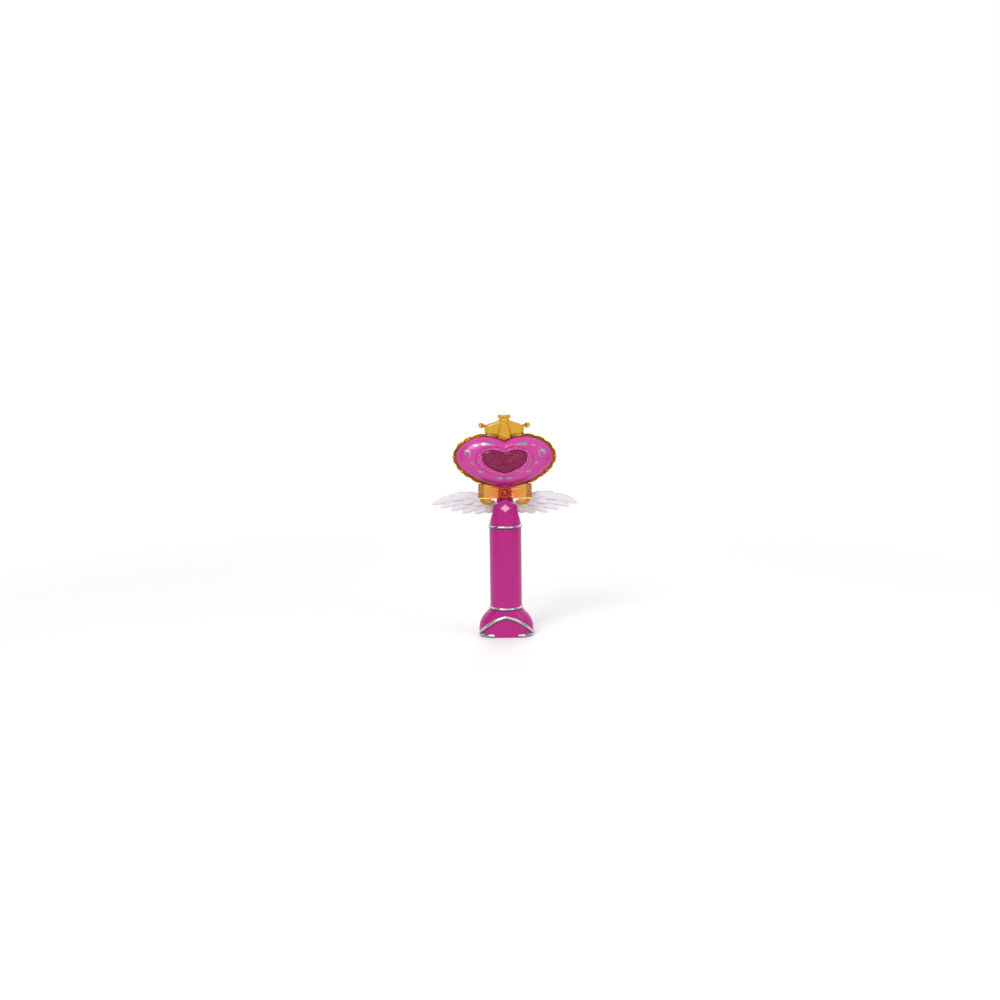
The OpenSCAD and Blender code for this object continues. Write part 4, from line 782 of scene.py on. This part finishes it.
ball_place = (CROWN_HALF_W + BALL_OUT * BALL_D, crown_z + BALL_UP * CROWN_H)
arm = rod((CROWN_HALF_W - ARM_D / 2, crown_z + ARM_UP * CROWN_H), ball_place, ARM_D / 2)
crown_ball = ball((ball_place[0], 0, ball_place[1]), BALL_D / 2)
knob = turned(through(KNOB, KNOB_ROWS), crown_z + CROWN_H)
crown_trim = [knob, arm, mirrored(arm), crown_ball, mirrored(crown_ball)]
piece_of("crown_moulding", [crown_body] + crown_trim, amber, ["crown"],
         tint=[crown_wall_shade] + [np.zeros(grid.shape[:2]) for grid in crown_trim])

# %% [markdown]
# ## The bow
# Under the heart sits a bow of clear amber: two puffy loops that are gathered at a ringed knot, and
# two rolled tails. Simulated ribbon would fold by itself, but a moulded bow only hints at folds. So a
# loop is a stack of rounded rectangles that turns back into its own open end, with pleats that fade
# outwards from the knot. Towards the middle the pink stem behind shines through, and that red is
# painted into the amber's colour by an attribute on the mesh.

# %% Bow's shapes
BOW_Z, BOW_Y, BOW_HALF_W, LOOP_H, BOW_DEPTH = 157.35, -11.25, 28.3, 16.4, 9.0
LOOP_RISE, LOOP_POWER, LOOP_ROWS, LOOP_COLUMNS = 0.17, 0.55, 72, 96
PLEATS, PLEAT_H = 5, 0.55
# height of the ridge near a loop's end, its place as a share of the reach, and half its width
RIDGE_H, RIDGE_PLACE, RIDGE_HALF = 0.5, 0.87, 0.03
STEM_ROOM, HEAD_ROOM = 9.3, 0.6
# shares of the reach, the height and the depth
LOOP = [(0.1, 0.7, 0.5), (0.25, 0.8, 0.7), (0.5, 0.92, 0.95), (0.75, 0.97, 1), (0.93, 1, 0.95),
        (1, 0.95, 0.8), (0.97, 0.8, 0.62), (0.8, 0.66, 0.5)]
# radius and depth in mm
KNOT = [(0, 4), (4.6, 4), (6.2, 2.6), (6.5, 0), (6.5, -3), (6.1, -5), (5.1, -5.8), (4.1, -5.2), (3.3, -4.1),
        (2.7, -4.5), (2.1, -5.6), (1, -6.1), (0, -6.2)]
KNOT_ROWS, KNOT_COLUMNS = 80, 64
# places in the front view in mm, from the loop's corner inwards
TAIL = [(26.4, 151.4), (22.6, 147.2), (16.2, 145.8), (10.9, 148.6)]
TAIL_R, TAIL_POINT, TAIL_BLUNT, TAIL_ROWS, TAIL_COLUMNS = 2.6, 0.3, 12, 60, 28


def bow_clear(grid):
    """Keeps the bow below the heart's lower edge and in front of the stem."""
    x, y, z = grid[..., 0], grid[..., 1], grid[..., 2]
    lower = outline[:6 * OUTLINE_STEP]
    roof = heart_z + np.interp(np.abs(x), lower[:, 0], lower[:, 1]) - HEAD_ROOM
    stem = -np.sqrt(np.maximum(STEM_ROOM ** 2 - x ** 2, 0))
    return np.stack([x, np.where(np.abs(x) < STEM_ROOM, np.minimum(y, stem), y), np.minimum(z, roof)], -1)


def bow_loop():
    """Loop on the right: rounded rectangles along the reach, with pleats and an end ridge on the front.
    The pleats are a cosine over the height that fades along the reach, and the ridge is a bell curve."""
    rows = through(LOOP, LOOP_ROWS)
    rows = np.concatenate([rows[:1] * (1, 0, 0), rows, rows[-1:] * (1, 0, 0)])
    share, height, thick = (rows[:, k:k + 1] for k in range(3))
    turn = around(LOOP_COLUMNS)
    deep, up = (np.sign(v) * np.abs(v) ** LOOP_POWER for v in (np.cos(turn), np.sin(turn)))
    front = np.clip(-deep, 0, 1)
    relief = PLEAT_H * (1 - share) * np.cos(np.pi * PLEATS * up)
    relief = relief + RIDGE_H * np.exp(-((share - RIDGE_PLACE) / RIDGE_HALF) ** 2)
    y = BOW_Y + thick * BOW_DEPTH / 2 * deep - relief * front * np.sqrt(thick)
    z = BOW_Z + (LOOP_RISE * share + height * up) * LOOP_H / 2
    return np.stack([share * BOW_HALF_W + 0 * turn, y, z], -1)


def bow_knot():
    """Ringed knot: a section of radius and depth turned round the line of sight."""
    section = through(KNOT, KNOT_ROWS)
    angle = around(KNOT_COLUMNS)
    radius, y = np.maximum(section[:, :1], 0), BOW_Y + section[:, 1:] + 0 * angle
    return np.stack([radius * np.cos(angle), y, BOW_Z + radius * np.sin(angle)], -1)


def bow_tail():
    """Rolled tail on the right: circles along a curve, thick in the middle by a sine and closed at both
    ends by a root."""
    line = through(TAIL, TAIL_ROWS)
    along = unit(np.gradient(line, axis=0))
    t = np.linspace(0, 1, TAIL_ROWS)
    radius = TAIL_R * (TAIL_POINT + (1 - TAIL_POINT) * np.sin(np.pi * t))
    radius = radius * np.sqrt(np.clip(TAIL_BLUNT * np.minimum(t, 1 - t), 0, 1))
    turn = around(TAIL_COLUMNS)
    off = radius[:, None] * np.cos(turn)
    x, z = line[:, :1] - along[:, 1:] * off, line[:, 1:] + along[:, :1] * off
    return np.stack([x, BOW_Y - radius[:, None] * np.sin(turn), z], -1)


# %% Bow
# painted red of the pink stem seen through: its level at the middle, the distance in mm over which it fades,
# and the most of it
RED_MIDDLE, RED_REACH, RED_MOST = 1.1, 20, 0.9
loop, knot, roll = bow_clear(bow_loop()), bow_clear(bow_knot()), bow_clear(bow_tail())
gathered, tails = [loop, mirrored(loop), knot], [roll, mirrored(roll)]
pink_shine_through = [np.clip(RED_MIDDLE - np.abs(grid[..., 0]) / RED_REACH, 0, RED_MOST) for grid in gathered]
pink_shine_through += [np.zeros(grid.shape[:2]) for grid in tails]
piece_of("bow_moulding", gathered + tails, bow_amber, ["bow"], tint=pink_shine_through)

# %% [markdown]
# ## Chrome trim of the foot
# A half-round chrome strip runs over the foot as a peaked arch and ends in two feet that curl
# inwards along the floor. It could be shrink-wrapped on the foot, but a formula sits closer. The
# foot's level lines are rounded ellipses, so a place on it is a height and a share of the half width
# there. The strip's section is swept along such places.

# %% Chrome trim
FOOT_HALF_W, FOOT_HALF_D, FOOT_H = 29.8, 18.5, 29.4
FOOT_POWER = 2.5
# shares of the foot's height, half width and half depth
FOOT_LEVELS = np.array([(0, 0.93, 0.93), (0.05, 0.98, 0.98), (0.17, 1, 1), (0.42, 0.985, 1),
                        (0.6, 0.92, 0.985), (0.76, 0.81, 0.965), (0.9, 0.67, 0.945), (1, 0.58, 0.935)])
TRIM_W, TRIM_RISE, TRIM_SINK = 4.2, 1.4, 0.5
TRIM_ROWS, TRIM_COLUMNS, TRIM_END_ROWS = 260, 24, 6
FLOOR_GAP = 0.05
# share of the half width, and height in mm, from the peak to the curled end
TRIM_PATH = np.array([(0.02, 22.1), (0.06, 21.9), (0.2, 20.9), (0.4, 18.8), (0.58, 15.4), (0.72, 11.8),
                      (0.84, 8), (0.92, 5.1), (0.955, 3.3), (0.93, 2.1), (0.85, 1.7), (0.7, 1.7), (0.5, 1.8),
                      (0.42, 1.9)])


def foot_place(share, z):
    """Place on the foot's front and the normal there. Each level is a superellipse of the power above."""
    half_w, half_d = (np.interp(z / FOOT_H, FOOT_LEVELS[:, 0], FOOT_LEVELS[:, k]) * size
                      for k, size in ((1, FOOT_HALF_W), (2, FOOT_HALF_D)))
    deep = (1 - np.abs(share) ** FOOT_POWER) ** (1 / FOOT_POWER)
    sides = np.sign(share) * np.abs(share) ** (FOOT_POWER - 1) / half_w
    normal = unit(np.stack([sides, -deep ** (FOOT_POWER - 1) / half_d, 0 * share], -1))
    return np.stack([share * half_w, -half_d * deep, z], -1), normal


trim_path = through(np.concatenate([TRIM_PATH[::-1] * (-1, 1), TRIM_PATH]), TRIM_ROWS)
line, outward = foot_place(trim_path[:, 0], trim_path[:, 1])
tangent = unit(np.gradient(line, axis=0))
outward = unit(outward - np.sum(outward * tangent, 1, keepdims=True) * tangent)
sideways = np.cross(outward, tangent)
turn = around(TRIM_COLUMNS)
from_start = np.arange(TRIM_ROWS)
ends = np.sqrt(np.clip(np.minimum(from_start, from_start[::-1]) / TRIM_END_ROWS, 0, 1))[:, None]
rise = np.where(np.sin(turn) > 0, TRIM_RISE, TRIM_SINK) * np.sin(turn)
strip = (line[:, None] + sideways[:, None] * (ends * TRIM_W / 2 * np.cos(turn))[..., None]
         + outward[:, None] * (ends * rise)[..., None])
strip[..., 2] = np.maximum(strip[..., 2], FLOOR_GAP)
piece_of("foot_trim_strip", [strip], chrome, ["pommel_trim"])

# %% [markdown]
# ## Floor and light
# The wand stands on a plain white floor that fades into a white surrounding, under three large soft
# lamps and a pale sky. More light would whiten the background too, but also bleach the wand. So rays
# from the camera, and those that metal and clear plastic send on, see plain white, while the sky
# lights the wand at a lower level. Two dark cards beside the wand give the chrome something to
# mirror.

# %% Floor
FLOOR_RADIUS, FLOOR_SIDES = 0.9, 64
FLOOR_RINGS = np.array([0.02, 0.2, 0.5, FLOOR_RADIUS])
FADE_START = 0.1
FLOOR_GLOW = 0.14


def floor_disc():
    """Disc at z = 0: rings of points at growing radius, each point at its angle round the middle."""
    angle, radius = np.meshgrid(around(FLOOR_SIDES), FLOOR_RINGS)
    points = np.stack([radius * np.cos(angle), radius * np.sin(angle), 0 * radius], -1).reshape(-1, 3)
    inner_first = np.arange(len(FLOOR_RINGS) - 1)[:, None] * FLOOR_SIDES
    here = np.arange(FLOOR_SIDES)
    ahead = (here + 1) % FLOOR_SIDES
    outer_first = inner_first + FLOOR_SIDES
    quads = np.stack([inner_first + here, outer_first + here, outer_first + ahead, inner_first + ahead], -1)
    mesh = bpy.data.meshes.new("floor")
    mesh.from_pydata(points.tolist(), [], quads.reshape(-1, 4).tolist() + [list(range(FLOOR_SIDES))])
    return mesh


floor = bpy.data.objects.new("floor", floor_disc())
bpy.context.scene.collection.objects.link(floor)
# matt paint that only shows the wand's shadow, and lets the white behind it through further out
paint, tree, shader = start("floor_white_matt", {"Base Color": linear("#f6f6f6"), "Roughness": 0.8,
                                                 "Emission Color": (1, 1, 1, 1),
                                                 "Emission Strength": FLOOR_GLOW})
place = add(tree, "ShaderNodeTexCoord")
far = add(tree, "ShaderNodeVectorMath", (), {0: (place, "Object")}, operation="LENGTH")
shown = add(tree, "ShaderNodeMapRange",
            {"From Min": FADE_START, "From Max": FLOOR_RADIUS, "To Min": 1, "To Max": 0},
            {"Value": (far, "Value")})
tree.links.new(shown.outputs["Result"], shader.inputs["Alpha"])
floor.data.materials.append(paint)
print("floor radius in metres:", FLOOR_RADIUS)

# %% Sky and lamps
SKY_LIGHT = 0.42
# place and width in metres, and watts
LAMPS = {"key_lamp": ((-0.55, -0.9, 1.0), 0.6, 9), "fill_lamp": ((0.9, -0.5, 0.6), 0.7, 3.6),
         "back_lamp": ((0.1, 1.0, 0.9), 0.8, 4.5)}
world = bpy.data.worlds.new("white_studio")
bpy.context.scene.world = world
world.use_nodes = True
tree = world.node_tree
ray = add(tree, "ShaderNodeLightPath")
seen = add(tree, "ShaderNodeMath", (), {0: (ray, "Is Camera Ray"), 1: (ray, "Is Glossy Ray")},
           operation="MAXIMUM")
passed = add(tree, "ShaderNodeMath", (), {0: (seen, "Value"), 1: (ray, "Is Transmission Ray")},
             operation="MAXIMUM")
level = add(tree, "ShaderNodeMapRange", {"To Min": SKY_LIGHT, "To Max": 1}, {"Value": (passed, "Value")})
sky = tree.nodes["Background"]
sky.inputs["Color"].default_value = (1, 1, 1, 1)
tree.links.new(level.outputs["Result"], sky.inputs["Strength"])
middle = (solid_box[0] + solid_box[1]) / 2


def lamp(name, place, size, watts):
    """Square soft lamp at a place in metres, turned to the wand's middle."""
    light = bpy.data.lights.new(name, "AREA")
    light.size = size
    light.energy = watts
    made = bpy.data.objects.new(name, light)
    made.location = place
    made.rotation_euler = (middle - Vector(place)).to_track_quat("-Z", "Y").to_euler()
    bpy.context.scene.collection.objects.link(made)


for name, settings in LAMPS.items():
    lamp(name, *settings)
print("lamps:", len(LAMPS))

# %% Dark cards
# places in metres: how far to the side, from front to back, and from low to high
CARD_X, CARD_Y, CARD_Z = 0.42, (-0.34, -0.02), (0.05, 0.62)
# matt board, nearly black, so that its reflection is a plain dark band
card_board = start("studio_card_dark", {"Base Color": linear("#1c1c1e"), "Roughness": 0.9})[0]


def card(name, x):
    """Tall dark card beside the wand, an upright rectangle at x. The camera doesn't see it, and it takes
    no light: only its reflection draws the edges of bright metal."""
    (front, back), (low, high) = CARD_Y, CARD_Z
    corners = [(x, y, z) for y, z in ((front, low), (back, low), (back, high), (front, high))]
    mesh = bpy.data.meshes.new(name)
    mesh.from_pydata(corners, [], [(0, 1, 2, 3)])
    mesh.materials.append(card_board)
    made = bpy.data.objects.new(name, mesh)
    made.visible_camera = made.visible_diffuse = made.visible_shadow = False
    bpy.context.scene.collection.objects.link(made)


card("card_left", -CARD_X)
card("card_right", CARD_X)
print("dark cards at metres from the middle:", CARD_X)

# %% [markdown]
# ## Camera
# The photograph was taken from the front and a little above. The rings' curves give the height of
# the lens, and the wand's size in the frame gives the field of view. The distance can't be read off,
# so a usual one is taken, and the focal length is worked out from it.

# %% Camera
FRAME_PX = 1000
PX_PER_MM = 0.925
CAMERA_DISTANCE = 0.9
CAMERA_HEIGHT = 0.245
AIM_X = -5.4 * MM
AIM_HEIGHT = 148 * MM
ROLL = math.radians(0.7)
SENSOR_WIDTH = 36

camera_data = bpy.data.cameras.new("camera")
camera = bpy.data.objects.new("camera", camera_data)
bpy.context.scene.collection.objects.link(camera)
camera.location = (AIM_X, -CAMERA_DISTANCE, CAMERA_HEIGHT)
view = Vector((AIM_X, 0, AIM_HEIGHT)) - camera.location
aimed = view.to_track_quat("-Z", "Y").to_matrix()
camera.rotation_mode = "QUATERNION"
camera.rotation_quaternion = (aimed @ Matrix.Rotation(-ROLL, 3, "Z")).to_quaternion()
camera_data.sensor_width = SENSOR_WIDTH
camera_data.lens = SENSOR_WIDTH * PX_PER_MM * view.length / MM / FRAME_PX
bpy.context.scene.camera = camera
bpy.context.scene.view_settings.view_transform = "Standard"
print("lens in mm:", round(camera_data.lens, 1))
